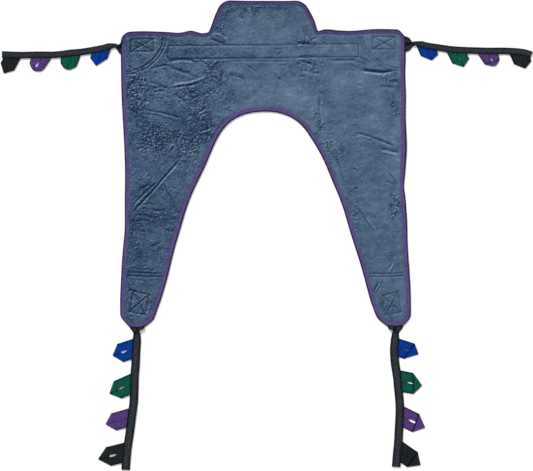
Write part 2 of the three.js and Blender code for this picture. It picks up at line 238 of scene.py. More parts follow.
def leg_seams(side):
    """The two lines across a leg piece."""
    ends = [(side * x, LEG_SEAM_Y) for x in LEG_SEAM_ENDS]
    return [np.array(ends, float) + (0, offset) for offset in TWIN_OFFSETS]


def channel_lines():
    """The closed channel across the back."""
    top, low = CHANNEL_CENTRE + CHANNEL_WIDTH / 2, CHANNEL_CENTRE - CHANNEL_WIDTH / 2
    corners = [(-CHANNEL_HALF, low), (CHANNEL_HALF, low), (CHANNEL_HALF, top), (-CHANNEL_HALF, top)]
    return [np.array(corners + corners[:1], float)]


SEAMS = {"stitch_channel": channel_lines()}
for side_name, side in SIDES.items():
    SEAMS[f"stitch_box_shoulder_{side_name}"] = box_lines(SHOULDER_BOX, side)
    SEAMS[f"stitch_box_leg_{side_name}"] = box_lines(LEG_BOX, side)
    SEAMS[f"stitch_arc_{side_name}"] = shoulder_arcs(side)
    SEAMS[f"stitch_seam_leg_{side_name}"] = leg_seams(side)
SEAM_LINES = list(itertools.chain(*SEAMS.values()))


def close_to(plan, line, reach):
    """Which points are within reach of the box round a line."""
    return ((plan > line.min(0) - reach) & (plan < line.max(0) + reach)).all(1)


def line_distance(plan, line):
    """Signed distance from a line, how far along it is from 0 to 1, and how its left faces the key light, for
    painted shading.
    """
    best = np.full(len(plan), 1e9)
    signed, share, facing = np.zeros((3, len(plan)))
    lengths = np.linalg.norm(np.diff(line, axis=0), axis=1)
    starts = np.concatenate([[0], np.cumsum(lengths)])
    for a, b, length, start in zip(line, line[1:], lengths, starts):
        run = (b - a) / length
        along = np.clip((plan - a) @ run, 0, length)
        gap = plan - a - along[:, None] * run
        distance = np.linalg.norm(gap, axis=1)
        closer = distance < best
        best = np.where(closer, distance, best)
        signed = np.where(closer, np.copysign(distance, run[0] * gap[:, 1] - run[1] * gap[:, 0]), signed)
        share = np.where(closer, (start + along) / starts[-1], share)
        facing = np.where(closer, -run[1] * PAINTED_LIGHT_WAY[0] + run[0] * PAINTED_LIGHT_WAY[1], facing)
    return signed, share, facing


# ---------------------------------------------------------------- the lie of the cloth

FIELD_CELL = 4.0
FIELD_SIZE = 512


@functools.lru_cache(None)
def noise_map(seed, shortest, longest):
    """A random map, periodic, with wavelengths in a band and a spread of 1."""
    rng = np.random.default_rng(seed)
    frequency = np.fft.fftfreq(FIELD_SIZE, FIELD_CELL)
    radius = np.hypot(*np.meshgrid(frequency, frequency, indexing="ij")) + 1e-9
    band = np.exp(-((radius * shortest) ** 4)) * (1 - np.exp(-((radius * longest) ** 4)))
    spectrum = np.fft.fft2(rng.standard_normal((FIELD_SIZE, FIELD_SIZE))) * band
    made = np.fft.ifft2(spectrum).real
    return made / made.std()


def read_map(grid, at):
    """A map read at points given in cells, smoothly between its cells; it repeats past its edges."""
    low = np.floor(at).astype(int)
    fx, fy = (at - low).T
    (x0, y0), (x1, y1) = (low % grid.shape).T, ((low + 1) % grid.shape).T
    near = grid[x0, y0] * (1 - fx) + grid[x1, y0] * fx
    far = grid[x0, y1] * (1 - fx) + grid[x1, y1] * fx
    return near * (1 - fy) + far * fy


def noise(plan, seed, shortest, longest, stretch=1.0, turn=0.0):
    """Band noise at points; stretched noise makes streaks along the direction of turn."""
    return read_map(noise_map(seed, shortest, longest), turned(plan, -turn) / (stretch, 1.0) / FIELD_CELL)


# Creases that the sling lies in: the line in plan, its depth (a ridge where below 0) and its width.
CREASES = [
    # left shoulder and under the left half of the channel
    ([(-304, 537), (-250, 542), (-216, 538), (-196, 531)], 2.2, 3.4),
    ([(-202, 542), (-186, 536), (-168, 526)], 1.6, 3.0),
    ([(-352, 516), (-326, 522), (-300, 526), (-284, 519)], 1.5, 3.0),
    ([(-296, 523), (-270, 513), (-250, 505), (-216, 499)], 1.7, 4.5),
    ([(-346, 451), (-324, 458), (-302, 456), (-284, 450)], 1.5, 3.0),
    ([(-342, 441), (-318, 446), (-300, 444)], 1.2, 2.8),
    ([(-292, 458), (-262, 466), (-234, 470), (-208, 478), (-188, 486), (-166, 496)], -1.5, 3.2),
    ([(-290, 452), (-258, 460), (-226, 464), (-196, 472)], 1.3, 3.4),
    ([(-352, 476), (-330, 468), (-308, 461)], 1.4, 3.4),
    ([(-172, 532), (-163, 516), (-162, 500), (-156, 488)], 1.3, 2.8),
    ([(-232, 497), (-208, 490), (-192, 484)], 1.2, 3.0),
    ([(-240, 436), (-226, 444), (-206, 440)], 1.0, 3.0),
    ([(-276, 440), (-262, 428), (-246, 418)], 1.2, 3.6),
    ([(-308, 424), (-300, 408), (-294, 398)], 1.0, 2.6),
    ([(-336, 506), (-326, 501)], 1.2, 3.0),
    ([(-420, 498), (-402, 486), (-390, 476)], 1.2, 3.0),
    ([(-424, 458), (-402, 448), (-380, 438)], 1.2, 3.2),
    ([(-418, 430), (-396, 426), (-376, 412)], 1.1, 3.2),
    ([(-250, 572), (-240, 558), (-236, 550)], 1.0, 3.0),
    ([(-212, 574), (-202, 560), (-198, 552)], 1.0, 3.0),
    ([(-176, 570), (-160, 556), (-150, 549)], 0.9, 3.0),
    ([(-256, 596), (-240, 590), (-228, 588)], 0.8, 2.8),
    # neck
    ([(-168, 610), (-150, 602), (-130, 594), (-110, 587)], 2.0, 4.0),
    ([(-164, 598), (-148, 591), (-136, 588)], 1.2, 3.0),
    ([(-166, 622), (-142, 621), (-122, 611), (-104, 598)], -1.4, 3.4),
    ([(-136, 646), (-126, 628), (-118, 614)], 0.9, 3.0),
    ([(98, 596), (112, 590), (150, 588)], 1.4, 3.0),
    ([(124, 608), (130, 598), (128, 590)], 1.3, 3.0),
    ([(152, 600), (162, 606), (172, 612)], 1.2, 2.8),
    ([(102, 626), (110, 616)], 1.0, 3.0),
    # middle of the back
    ([(-122, 537), (-60, 538), (0, 537), (60, 535), (104, 538)], 0.9, 2.6),
    ([(-52, 524), (-36, 516), (-20, 503)], 1.4, 3.0),
    ([(-112, 498), (-90, 492), (-70, 487), (-54, 478)], 1.0, 5.5),
    ([(46, 487), (58, 478)], 1.7, 3.2),
    ([(50, 520), (62, 524), (74, 523)], 0.8, 2.6),
    ([(-2, 447), (12, 434)], 0.7, 3.0),
    ([(28, 574), (44, 573), (62, 574)], 0.8, 2.6),
    ([(40, 550), (50, 558), (58, 564)], 0.9, 2.6),
    ([(-12, 578), (-4, 564), (0, 550)], 0.7, 2.8),
    ([(-52, 574), (-34, 573)], 0.8, 2.8),
    # right of the back, beside the neck and under the channel
    ([(104, 546), (130, 549), (166, 546)], 1.2, 2.8),
    ([(108, 536), (134, 531), (152, 522), (168, 520)], 1.6, 3.0),
    ([(122, 507), (146, 502), (162, 503)], 1.3, 2.8),
    ([(138, 497), (160, 497), (182, 494)], 1.1, 2.8),
    ([(114, 490), (136, 487)], 1.2, 3.0),
    ([(166, 528), (166, 514)], 1.0, 2.8),
    ([(172, 440), (184, 432), (192, 424)], 0.9, 3.4),
    ([(174, 436), (173, 404), (172, 372), (176, 338), (177, 302)], 0.8, 4.2),
    ([(158, 370), (176, 368)], 1.1, 2.8),
    ([(198, 546), (214, 535), (250, 536), (300, 537)], 1.1, 4.2),
    ([(262, 526), (280, 516), (300, 507)], 1.0, 3.2),
    ([(298, 507), (320, 503), (345, 499), (372, 497), (410, 501)], 2.8, 4.2),
    ([(278, 545), (300, 543), (318, 534), (334, 524)], 1.0, 2.8),
    ([(288, 530), (306, 527), (322, 520)], 0.9, 2.6),
    ([(264, 500), (269, 488)], 1.0, 2.6),
    ([(272, 496), (284, 482)], 1.1, 2.6),
    ([(292, 462), (308, 456)], 1.1, 3.0),
    ([(356, 456), (384, 452), (412, 447)], 0.9, 3.6),
    ([(396, 470), (416, 468)], 1.4, 4.0),
    # left side, from the arm to the thigh
    ([(-424, 396), (-408, 385), (-394, 378), (-382, 370)], 1.6, 3.2),
    ([(-380, 391), (-350, 383), (-320, 380), (-290, 373), (-264, 366), (-242, 363)], 1.6, 3.0),
    ([(-366, 374), (-338, 373), (-318, 366), (-302, 358)], 1.1, 2.8),
    ([(-402, 398), (-392, 384), (-386, 370)], 1.2, 3.0),
    ([(-326, 334), (-314, 320)], 1.5, 3.0),
    ([(-302, 322), (-288, 318), (-274, 317)], 1.5, 3.0),
    ([(-376, 309), (-356, 314)], 1.3, 3.0),
    ([(-320, 258), (-308, 267), (-296, 262), (-286, 280), (-275, 270)], -1.5, 3.0),
    ([(-398, 262), (-384, 270), (-370, 266), (-356, 274)], 1.2, 3.0),
    ([(-206, 378), (-190, 388), (-176, 396)], 1.6, 3.0),
    ([(-204, 370), (-184, 382), (-160, 386)], -1.2, 3.0),
    ([(-198, 310), (-176, 317), (-158, 327)], -1.4, 3.0),
    ([(-200, 316), (-178, 324), (-162, 334)], 1.3, 3.0),
    ([(-228, 374), (-216, 366), (-208, 354)], 1.2, 3.0),
    ([(-252, 244), (-287, 203), (-323, 165), (-361, 122), (-399, 80), (-418, 62)], 2.6, 2.9),
    ([(-326, 171), (-345, 155), (-368, 134), (-392, 109), (-418, 78)], 1.7, 2.6),
    ([(-314, 164), (-306, 146), (-298, 128), (-284, 110)], 2.2, 2.8),
    ([(-352, 156), (-372, 150), (-392, 134)], 1.0, 3.4),
    ([(-408, 84), (-382, 92), (-342, 97)], 1.2, 3.4),
    ([(-352, 77), (-326, 75), (-300, 78)], 1.3, 3.4),
    ([(-400, 58), (-376, 60), (-352, 52), (-330, 52)], 1.2, 3.6),
    ([(-352, -34), (-340, -36), (-318, -22)], 0.8, 4.0),
    # left thigh, about its seams
    ([(-427, -104), (-384, -108), (-330, -106)], 0.9, 2.6),
    ([(-428, -130), (-392, -131), (-352, -132)], 1.2, 2.6),
    ([(-430, -180), (-416, -175), (-398, -178)], 1.4, 3.0),
    ([(-424, -196), (-414, -202)], 1.3, 3.4),
    # right side, from the arm to the thigh
    ([(268, 313), (292, 313), (312, 307), (332, 300), (354, 291), (378, 282), (396, 274), (416, 260)],
     1.7, 3.6),
    ([(300, 302), (318, 294), (336, 288)], 1.1, 3.6),
    ([(354, 266), (384, 261), (416, 251)], 1.3, 4.0),
    ([(356, 256), (388, 250), (420, 246)], -1.0, 3.0),
    ([(268, 306), (290, 305)], 0.9, 2.6),
    ([(384, 194), (400, 173), (414, 151)], 1.7, 3.0),
    ([(372, 166), (388, 160), (402, 152)], 1.0, 3.0),
    ([(178, 302), (190, 289), (196, 268), (200, 250)], 1.3, 3.0),
    ([(192, 303), (206, 285), (214, 266)], 1.2, 3.0),
    ([(204, 252), (220, 232), (230, 206), (238, 180), (248, 152)], 1.3, 3.2),
    ([(214, 262), (228, 246), (240, 226)], 0.9, 2.8),
    ([(270, 207), (282, 198), (292, 192)], 1.1, 2.8),
    ([(276, 222), (290, 210), (300, 202)], 1.0, 2.8),
    ([(270, 140), (288, 141)], 0.9, 2.6),
    ([(252, 126), (262, 120), (266, 112)], 0.9, 2.8),
    ([(262, 100), (284, 80), (302, 60), (318, 34), (340, 10)], 1.5, 3.2),
    ([(312, 52), (328, 32), (344, 9)], -1.3, 3.0),
    ([(352, 4), (360, -14)], 0.9, 3.2),
    ([(398, 106), (412, 100)], 1.4, 3.0),
    ([(400, 92), (416, 82)], 1.4, 3.0),
    ([(402, 72), (414, 60)], 1.4, 3.0),
    # right thigh, about its seams
    ([(382, -116), (390, -102), (397, -88)], -1.2, 2.8),
    ([(386, -104), (394, -88)], 1.2, 2.8),
    ([(332, -180), (342, -160), (350, -142)], 1.5, 2.8),
    ([(338, -184), (350, -164), (356, -150)], 1.0, 2.6),
    ([(366, -168), (358, -152), (362, -136)], 1.0, 2.8),
    ([(398, -60), (412, -74), (420, -84)], 0.9, 3.0),
]

# Where the pile is brushed against its lie: middle, half sizes and strength.
ROUGH_PATCHES = [
    ((-393, 470), (42, 62), 1.0), ((-290, 288), (118, 50), 1.0), ((-205, 368), (52, 40), 0.9),
    ((-152, 502), (34, 52), 0.95), ((-345, 58), (82, 22), 0.75), ((-290, 8), (22, 28), 0.7),
    ((-398, 18), (34, 44), 0.6), ((-212, 434), (78, 34), 0.75), ((-388, 582), (46, 40), 0.4),
    ((-386, 388), (44, 26), 0.9), ((-350, 336), (66, 26), 0.7), ((-170, 320), (34, 34), 0.8),
    ((132, 602), (36, 18), 0.7), ((146, 520), (40, 34), 0.6), ((408, 84), (16, 42), 1.0),
    ((166, 346), (20, 54), 0.55), ((388, 478), (34, 26), 0.5), ((-60, 704), (96, 14), 0.6),
    ((-132, 660), (14, 44), 0.6), ((-232, 250), (44, 40), 0.7), ((-370, 150), (40, 30), 0.4),
    ((210, 262), (34, 54), 0.45), ((60, 704), (60, 12), 0.4), ((405, 400), (18, 44), 0.5),
    ((405, 260), (18, 60), 0.3), ((-405, -30), (26, 60), 0.45), ((-388, -216), (34, 40), 0.4),
    ((392, -222), (34, 40), 0.4), ((-120, 450), (50, 60), 0.35), ((270, 70), (26, 50), 0.35),
]

# Patches where the plush is paler, or darker below 0: middle, half sizes and how much.
TONES = [
    ((-255, 590), (90, 14), 0.12), ((-320, 492), (42, 34), 0.14), ((-165, 512), (40, 20), 0.10),
    ((-70, 455), (40, 40), 0.13), ((112, 425), (34, 60), 0.22), ((-235, 258), (32, 24), 0.24),
    ((-235, 195), (26, 30), 0.12), ((-385, -208), (40, 36), 0.16), ((180, 345), (22, 20), 0.18),
    ((285, 562), (50, 26), 0.18), ((285, 445), (55, 24), 0.11), ((370, 300), (60, 16), 0.12),
    ((200, 262), (26, 40), 0.14), ((-35, 625), (32, 36), 0.12), ((395, 15), (40, 34), 0.10),
    ((-350, 350), (50, 36), 0.10), ((-240, 420), (44, 34), 0.08), ((405, 222), (26, 34), 0.20),
    ((415, 370), (16, 34), 0.10), ((385, -190), (34, 34), 0.10), ((-365, 435), (26, 18), 0.10),
    ((-130, 380), (30, 30), 0.08), ((190, 440), (22, 60), -0.13), ((-185, 350), (24, 44), -0.15),
    ((-270, 310), (26, 20), -0.15), ((-400, 295), (34, 36), -0.10), ((-375, 40), (34, 16), -0.16),
    ((-300, 80), (18, 18), -0.12), ((-390, -135), (50, 12), -0.12), ((295, 237), (34, 20), -0.18),
    ((375, 148), (48, 18), -0.12), ((320, 5), (40, 40), -0.12), ((330, -65), (28, 26), -0.10),
    ((375, 390), (26, 24), -0.10), ((415, 478), (34, 24), -0.16), ((415, -50), (18, 44), -0.10),
    ((10, 545), (26, 14), -0.12), ((50, 627), (26, 14), -0.10), ((60, 705), (50, 10), -0.20),
    ((-50, 712), (60, 8), -0.12), ((365, -265), (20, 18), -0.16), ((405, 612), (34, 16), -0.16),
    ((-185, 285), (20, 16), -0.14), ((-310, 172), (20, 16), -0.10), ((-95, 597), (26, 22), -0.08),
    ((-280, 25), (20, 50), -0.08),
]


CREASE_STEP = 9  # spacing of the points that a crease is drawn with


def crease_relief(plan):
    """Height that the creases add: a sharp valley beside a softer ridge, fading at both ends."""
    relief = np.zeros(len(plan))
    for line, depth, width in CREASES:
        line = spline(line, CREASE_STEP)
        near = close_to(plan, line, 6 * width)
        across, share, _ = line_distance(plan[near], line)
        fade = smoothstep(share, 0.0, 0.25) * (1 - smoothstep(share, 0.75, 1.0))
        ridges = 0.3 * bell((np.abs(across) - 1.9 * width) / (1.3 * width))
        relief[near] += depth * fade * (ridges - bell(across / width))
    return relief


def line_shade(plan, line, width, reach):
    """Where a line is near, how far along it is, and its painted shade: dark along the line, with a painted
    highlight on the wall that faces the key light.
    """
    near = close_to(plan, line, reach)
    across, share, facing = line_distance(plan[near], line)
    wall = bell((np.abs(across) - 1.7 * width) / width) * np.sign(across) * facing
    return near, share, 0.95 * wall - bell(across / width)


def drawn_lines(plan):
    """Painted shade along creases and seams, with painted light on their walls that face the key light."""
    creased, sewn = np.zeros((2, len(plan)))
    for line, depth, width in CREASES:
        near, share, shade = line_shade(plan, spline(line, CREASE_STEP), 0.62 * width, 6 * width)
        fade = smoothstep(share, 0.0, 0.2) * (1 - smoothstep(share, 0.8, 1.0))
        creased[near] += shade * fade * depth * 0.19
    for line in SEAM_LINES:
        near, _, shade = line_shade(plan, line, 1.5, SEAM_REACH)
        sewn[near] += shade
    return creased + sewn * (0.3 - 0.18 * smoothstep(plan[:, 0], -220, 120))


def rough_pile(plan):
    """How far the pile is brushed against its lie, from 0 to 1."""
    drift = np.stack([noise(plan, 12, 30, 110), noise(plan, 13, 30, 110)], 1) * 11
    rough = np.zeros(len(plan))
    for middle, sizes, strength in ROUGH_PATCHES:
        away = np.linalg.norm((plan + drift - middle) / sizes, axis=1)
        rough = np.maximum(rough, strength * (1 - smoothstep(away, 0.55, 1.25)))
    return rough


def crumple(plan):
    """Height of the small creases and soft waves."""
    drift = np.stack([noise(plan, 21, 60, 200), noise(plan, 22, 60, 200)], 1)
    bent = plan + 14 * drift
    coarse = noise(bent, 23, 62, 150, 1.5, 0.5)
    middle = noise(bent, 24, 30, 76, 1.7, 2.5)
    fine = noise(bent, 25, 12, 26, 1.4, 1.0)
    waves = 0.55 * coarse + 0.3 * middle
    squiggles = 0.9 * bell(middle / 0.22) + 0.8 * fine
    rough = rough_pile(plan)
    return waves * (0.3 + 0.4 * rough) + 0.62 * squiggles * rough


def seam_groove(plan):
    """How far a seam pulls the padding in, from 0 to 1."""
    groove = np.zeros(len(plan))
    for line in SEAM_LINES:
        near = close_to(plan, line, SEAM_REACH)
        groove[near] = np.maximum(groove[near], bell(line_distance(plan[near], line)[0] / 2.2))
    return groove


def unsewn(plan):
    """1 on open cloth, and less inside the boxes of stitches, which hold it flat."""
    free = np.ones(len(plan))
    for side, box in itertools.product(SIDES.values(), (SHOULDER_BOX, LEG_BOX)):
        corners = box_lines(box, side)[0]
        middle = corners[:4].mean(0)
        reach = np.linalg.norm(corners[0] - middle)
        free *= 1 - 0.75 * np.exp(-((np.linalg.norm(plan - middle, axis=1) / reach) ** 6))
    return free


class Lattice:
    """Heights of the body's underside and top, kept on a square lattice and read at any point."""

    def __init__(self):
        low = np.floor(RING.min(0) / CELL) * CELL - 2 * CELL
        self.low = np.array([low[0], SPLIT_Y - math.ceil((SPLIT_Y - low[1]) / CELL) * CELL])
        self.size = (np.ceil((RING.max(0) - self.low) / CELL) + 3).astype(int)
        rows = [self.low[i] + CELL * np.arange(self.size[i]) for i in (0, 1)]
        self.plan = np.stack(np.meshgrid(*rows, indexing="ij"), -1).reshape(-1, 2)
        self.depth, self.nearest = edge_distance(self.plan)
        inside = smoothstep(self.depth, 8, 55)
        lifted = np.clip(noise(self.plan, 31, 90, 260), 0, None) * 1.1 * inside
        self.under = (BORDER_LIFT - 0.6 * inside + lifted).reshape(self.size)
        self.thick = np.clip(self.thickness(), LEAST_THICKNESS, None).reshape(self.size)

    def thickness(self):
        """The padding's swell with its creases, pulled in by the seams."""
        plan, depth = self.plan, self.depth
        swell = 1 - np.exp(-np.clip(depth - BINDING_WIDTH + 2, 0, None) / EDGE_SLOPE)
        thick = EDGE_THICKNESS + (PAD_THICKNESS - EDGE_THICKNESS) * swell
        relief = (crease_relief(plan) + crumple(plan)) * smoothstep(depth, 11, 26)
        free = unsewn(plan)
        return (thick + relief * 0.85 * free) * (1 - 0.17 * seam_groove(plan)) * (0.82 + 0.18 * free)

    def read(self, grid, plan):
        """A map of the lattice at points, held at its edges."""
        at = (np.asarray(plan, float) - self.low) / CELL
        return read_map(grid, np.clip(at, 0, np.array(self.size) - 1.001))

    def height(self, plan, share):
        """Height at points, where share runs from 0 on the underside to 1 on the plush."""
        return self.read(self.under, plan) + share * self.read(self.thick, plan)


CLOTH = Lattice()

# Where the edge lies off its pattern: middle, reach and shift.
NUDGES = [
    ((-189, 631), (20, 34), (0, -6)), ((-226, 631), (18, 30), (0, 3)), ((-262, 631), (26, 30), (0, -3)),
    ((-170, 642), (30, 34), (4, 0)), ((-100, 725), (70, 40), (0, 2.5)), ((100, 725), (70, 40), (0, -3)),
    ((-400, 632), (60, 34), (0, 3)), ((168, 631), (12, 26), (-3, -6)), ((200, 632), (20, 26), (0, 2)),
    ((280, 632), (50, 30), (0, -4)), ((442, 630), (18, 18), (-6, -3)), ((440, 540), (20, 46), (5, 0)),
    ((-446, 500), (16, 60), (-2, 0)), ((436, 440), (16, 70), (3, 0)), ((440, 270), (16, 70), (6, 0)),
    ((438, 150), (16, 30), (-4, 0)), ((440, 40), (16, 40), (2, 0)), ((-401, -286), (30, 34), (0, -7)),
    ((-446, -280), (18, 18), (4, 3)), ((-354, -280), (18, 18), (-2, 3)), ((352, -280), (22, 22), (6, 3)),
    ((448, -280), (20, 20), (-3, 2)), ((401, -286), (26, 34), (0, -2)),
]


def lay(plan):
    """Where a point of the flat pattern lies: the sling is not quite square on the floor."""
    plan = np.asarray(plan, float)
    x, y = plan.T
    upper = smoothstep(y, 180, 520)
    drift = -6 * upper + 2 * (1 - smoothstep(y, -260, 60))
    laid = np.stack([x + drift, y + 0.0115 * x * upper], 1)
    laid += 1.2 * np.stack([noise(plan, 41, 150, 420), noise(plan, 42, 150, 420)], 1)
    for middle, reach, shift in NUDGES:
        laid += np.exp(-(((plan - middle) / reach) ** 2).sum(1))[:, None] * shift
    return laid


# ---------------------------------------------------------------- meshes

def make_object(name, points, faces, uv, material, smooth=True, normals=None):
    """A mesh object from millimetre points; uv is one pair for each point, in metres."""
    mesh = bpy.data.meshes.new(name)
    mesh.from_pydata(np.asarray(points, float) * MM, [], [list(map(int, face)) for face in faces])
    loops = np.zeros(len(mesh.loops), np.int32)
    mesh.loops.foreach_get("vertex_index", loops)
    layer = mesh.uv_layers.new(name="plan")
    layer.data.foreach_set("uv", np.asarray(uv, np.float32)[loops].ravel())
    mesh.polygons.foreach_set("use_smooth", np.full(len(mesh.polygons), smooth))
    mesh.materials.append(material)
    mesh.update()
    if normals is not None:
        mesh.normals_split_custom_set_from_vertices(np.asarray(normals, float))
    made = bpy.data.objects.new(name, mesh)
    bpy.context.scene.collection.objects.link(made)
    return made


def make_cloth(name, sheet, uv, look, normals=None):
    """A closed shell of cloth whose two faces share one set of uv."""
    points, faces = sheet
    return make_object(name, points, faces, np.vstack([uv, uv]), MATERIALS[look], normals=normals)


def shell(low, high, quads):
    """Points and faces of a closed shell between two copies of a patch of quads."""
    count = len(low)
    edges = np.concatenate([quads[:, [i, (i + 1) % 4]] for i in range(4)]).tolist()
    keys = {tuple(edge) for edge in edges}
    walls = [(b, a, a + count, b + count) for a, b in edges if (b, a) not in keys]
    return np.vstack([low, high]), np.vstack([quads[:, ::-1], quads + count, walls])


def grid_quads(rows, columns):
    """Quads of a grid of points, row by row."""
    first = np.arange(rows - 1)[:, None] * columns
    here = first + np.arange(columns - 1)
    return np.stack([here, here + 1, here + columns + 1, here + columns], -1).reshape(-1, 4)


def ribbon(grid, thickness):
    """A strip of cloth given by its middle surface, one row of points at a time."""
    quads = grid_quads(*grid.shape[:2])
    flat = grid.reshape(-1, 3)
    a, b, c, d = (flat[quads[:, i]] for i in range(4))
    normals = np.zeros_like(flat)
    for i in range(4):
        np.add.at(normals, quads[:, i], np.cross(c - a, d - b))
    normals /= np.maximum(np.linalg.norm(normals, axis=1, keepdims=True), 1e-9)
    return shell(flat - normals * thickness / 2, flat + normals * thickness / 2, quads)


def add_float(piece, name, values):
    """A value for each point of a shell's two faces, for its material to read."""
    layer = piece.data.attributes.new(name, "FLOAT", "POINT")
    layer.data.foreach_set("value", np.tile(values, 2).astype(np.float32))


# ---------------------------------------------------------------- materials

def linear(red, green, blue):
    """A display colour, 0 to 255, as the linear colour that a shader takes."""
    shares = np.array([red, green, blue]) / 255
    return (*np.where(shares < 0.04045, shares / 12.92, ((shares + 0.055) / 1.055) ** 2.4), 1.0)


class Field:
    """A number that varies over a material, so that sums of nodes read as plain arithmetic."""

    def __init__(self, look, socket):
        self.look = look
        self.socket = socket

    def __add__(self, other):
        return self.look.math("ADD", self, other)

    def __sub__(self, other):
        return self.look.math("SUBTRACT", self, other)

    def __rsub__(self, other):
        return self.look.math("SUBTRACT", other, self)

    def __mul__(self, other):
        return self.look.math("MULTIPLY", self, other)

    def __truediv__(self, other):
        return self.look.math("DIVIDE", self, other)

    def clamped(self):
        """The same sum, held between 0 and 1."""
        self.socket.node.use_clamp = True
        return self

    def scaled(self, low, high):
        """A value from 0 to 1 spread to run from low to high."""
        return self.look.field("MapRange", {"clamp": False}, {"Value": self, "To Min": low, "To Max": high})


class Look:
    """A material in the making: its shader, and short ways to add nodes to it."""

    def __init__(self, name, roughness, sheen=0.0, sheen_tint=(255, 255, 255), specular=0.25):
        self.material = bpy.data.materials.new(name)
        self.material.use_nodes = True
        self.tree = self.material.node_tree
        self.shader = self.tree.nodes["Principled BSDF"]
        self.shader.inputs["Roughness"].default_value = roughness
        self.shader.inputs["Specular IOR Level"].default_value = specular
        self.shader.inputs["Sheen Weight"].default_value = sheen
        self.shader.inputs["Sheen Roughness"].default_value = 0.6
        self.shader.inputs["Sheen Tint"].default_value = linear(*sheen_tint)
        self.plan = self.field("UVMap", {"uv_map": "plan"})

    def field(self, kind, settings=(), inputs=(), output=0):
        """One output of a new node, whose inputs are numbers or fields."""
        node = self.tree.nodes.new("ShaderNode" + kind)
        for name, value in dict(settings).items():
            setattr(node, name, value)
        for key, value in dict(inputs).items():
            if isinstance(value, Field):
                self.tree.links.new(value.socket, node.inputs[key])
            else:
                node.inputs[key].default_value = value
        return Field(self, node.outputs[output])

    def math(self, operation, a, b=0.0):
        return self.field("Math", {"operation": operation}, {0: a, 1: b})

    def value_of(self, name):
        """A value kept at each point of the mesh."""
        return self.field("Attribute", {"attribute_name": name}, output="Fac")

    def axes(self):
        """The two coordinates of the plan, in metres."""
        return [self.field("SeparateXYZ", {}, {0: self.plan}, axis) for axis in (0, 1)]

    def wave(self, value, pitch):
        return self.math("SINE", value * (2 * math.pi / pitch))

    def noise(self, scale, detail=2.0, roughness=0.5, distortion=0.0, plan=None):
        inputs = {"Scale": scale, "Detail": detail, "Roughness": roughness, "Distortion": distortion}
        return self.field("TexNoise", {"noise_dimensions": "3D"}, {**inputs, "Vector": plan or self.plan})

    def mapped(self, **inputs):
        """The plan moved, turned or scaled."""
        return self.field("Mapping", {}, {"Vector": self.plan, **inputs})

    def stretched(self, turn, scale):
        """The plan turned by an angle and scaled along its own X, for streaks."""
        return self.mapped(Rotation=(0, 0, turn), Scale=(scale, 1, 1))

    def colour(self, value, *stops):
        """Base colour, blended between stops of (position, display colour)."""
        blend = self.field("ValToRGB", {}, {0: value}).socket
        elements = blend.node.color_ramp.elements
        while len(elements) < len(stops):
            elements.new(0.5)
        for element, (position, colour) in zip(elements, stops):
            element.position = position
            element.color = linear(*colour)
        self.tree.links.new(blend, self.shader.inputs["Base Color"])

    def bump(self, height, strength, distance):
        inputs = {"Height": height, "Strength": strength, "Distance": distance}
        self.tree.links.new(self.field("Bump", {}, inputs).socket, self.shader.inputs["Normal"])


def plush_look():
    """Short velvet pile: smooth where it lies flat, with strokes of dark and pale nap where it is brushed,
    embossed by painted light and shade; its colour also holds painted shading of creases, seams and the edge.
    """
    look = Look("plush", 0.9, sheen=0.1, sheen_tint=(150, 175, 205), specular=0.08)
    # the first value is the plush's tone with painted shade and light by the edge; the second is painted
    # shading of slopes, creases and seams; the third is how far the pile is brushed
    shade, painted_shading, rough = (look.value_of(name) for name in ("shade", "painted_shading", "rough"))
    broad = look.noise(16, 3, 0.55, 0.6).scaled(-0.2, 0.2)
    patch = look.noise(52, 3, 0.55, 1.2).scaled(-0.2, 0.2)
    along = look.noise(60, 3, 0.6, 0.6, look.stretched(1.2, 0.35)).scaled(-0.2, 0.2)
    # beside lies about 2.5 mm towards the key light: a noise minus its copy there paints light and shade, so
    # that the strokes look embossed
    beside = look.mapped(Location=(-0.0011, 0.0022, 0))
    worm, worm_toward_light = (look.noise(70, 2.5, 0.55, 2.2, plan) for plan in (look.plan, beside))
    speck, speck_toward_light = (look.noise(210, 2, 0.6, 1.2, plan) for plan in (look.plan, beside))
    line = (1.0 - look.math("ABSOLUTE", worm - 0.5) * 16.0).clamped()
    stroke = look.noise(120, 2, 0.6, 1.4, look.stretched(0.6, 0.6)).scaled(-0.55, 0.75)
    grain = look.noise(320, 1, 0.5).scaled(-0.12, 0.12)
    pile = look.noise(1400, 2, 0.6)
    strokes_and_painted_emboss = (worm - worm_toward_light) * 2.9 + (speck - speck_toward_light) * 0.5 + stroke + line * -0.65
    tone = strokes_and_painted_emboss * rough.scaled(0.1, 1.2) + (patch + along) + broad + painted_shading + grain
    tone = (tone + pile.scaled(-0.04, 0.04) + shade).clamped()
    look.colour(tone, (0.0, (12, 34, 56)), (0.27, (40, 63, 88)), (0.5, (66, 87, 110)),
                (0.77, (90, 110, 132)), (1.0, (121, 142, 165)))
    look.bump(pile.scaled(0, 0.3) + strokes_and_painted_emboss * rough, 0.5, 0.0014)
    return look.material


def backing_look():
    """Closely woven nylon with faint waves and a dull shine."""
    look = Look("backing", 0.62, sheen=0.1, sheen_tint=(120, 140, 170), specular=0.4)
    u, v = look.axes()
    weave = (look.wave(u, 0.0016) * look.wave(v, 0.0016)).scaled(0.35, 0.65)
    cloud = look.noise(24, 3, 0.6, 0.6)
    look.colour(cloud * 0.7 + weave * 0.3, (0.25, (44, 58, 80)), (0.5, (58, 74, 98)), (0.75, (72, 89, 114)))
    look.bump(weave + cloud.scaled(0, 1.5), 0.5, 0.0006)
    return look.material


def wadding_look():
    """Soft white fibre, seen only where a seam opens."""
    look = Look("padding", 0.95)
    fibre = look.noise(600, 4, 0.7, 2.0)
    look.colour(fibre, (0.3, (196, 196, 190)), (0.7, (226, 226, 222)))
    look.bump(fibre, 0.6, 0.001)
    return look.material


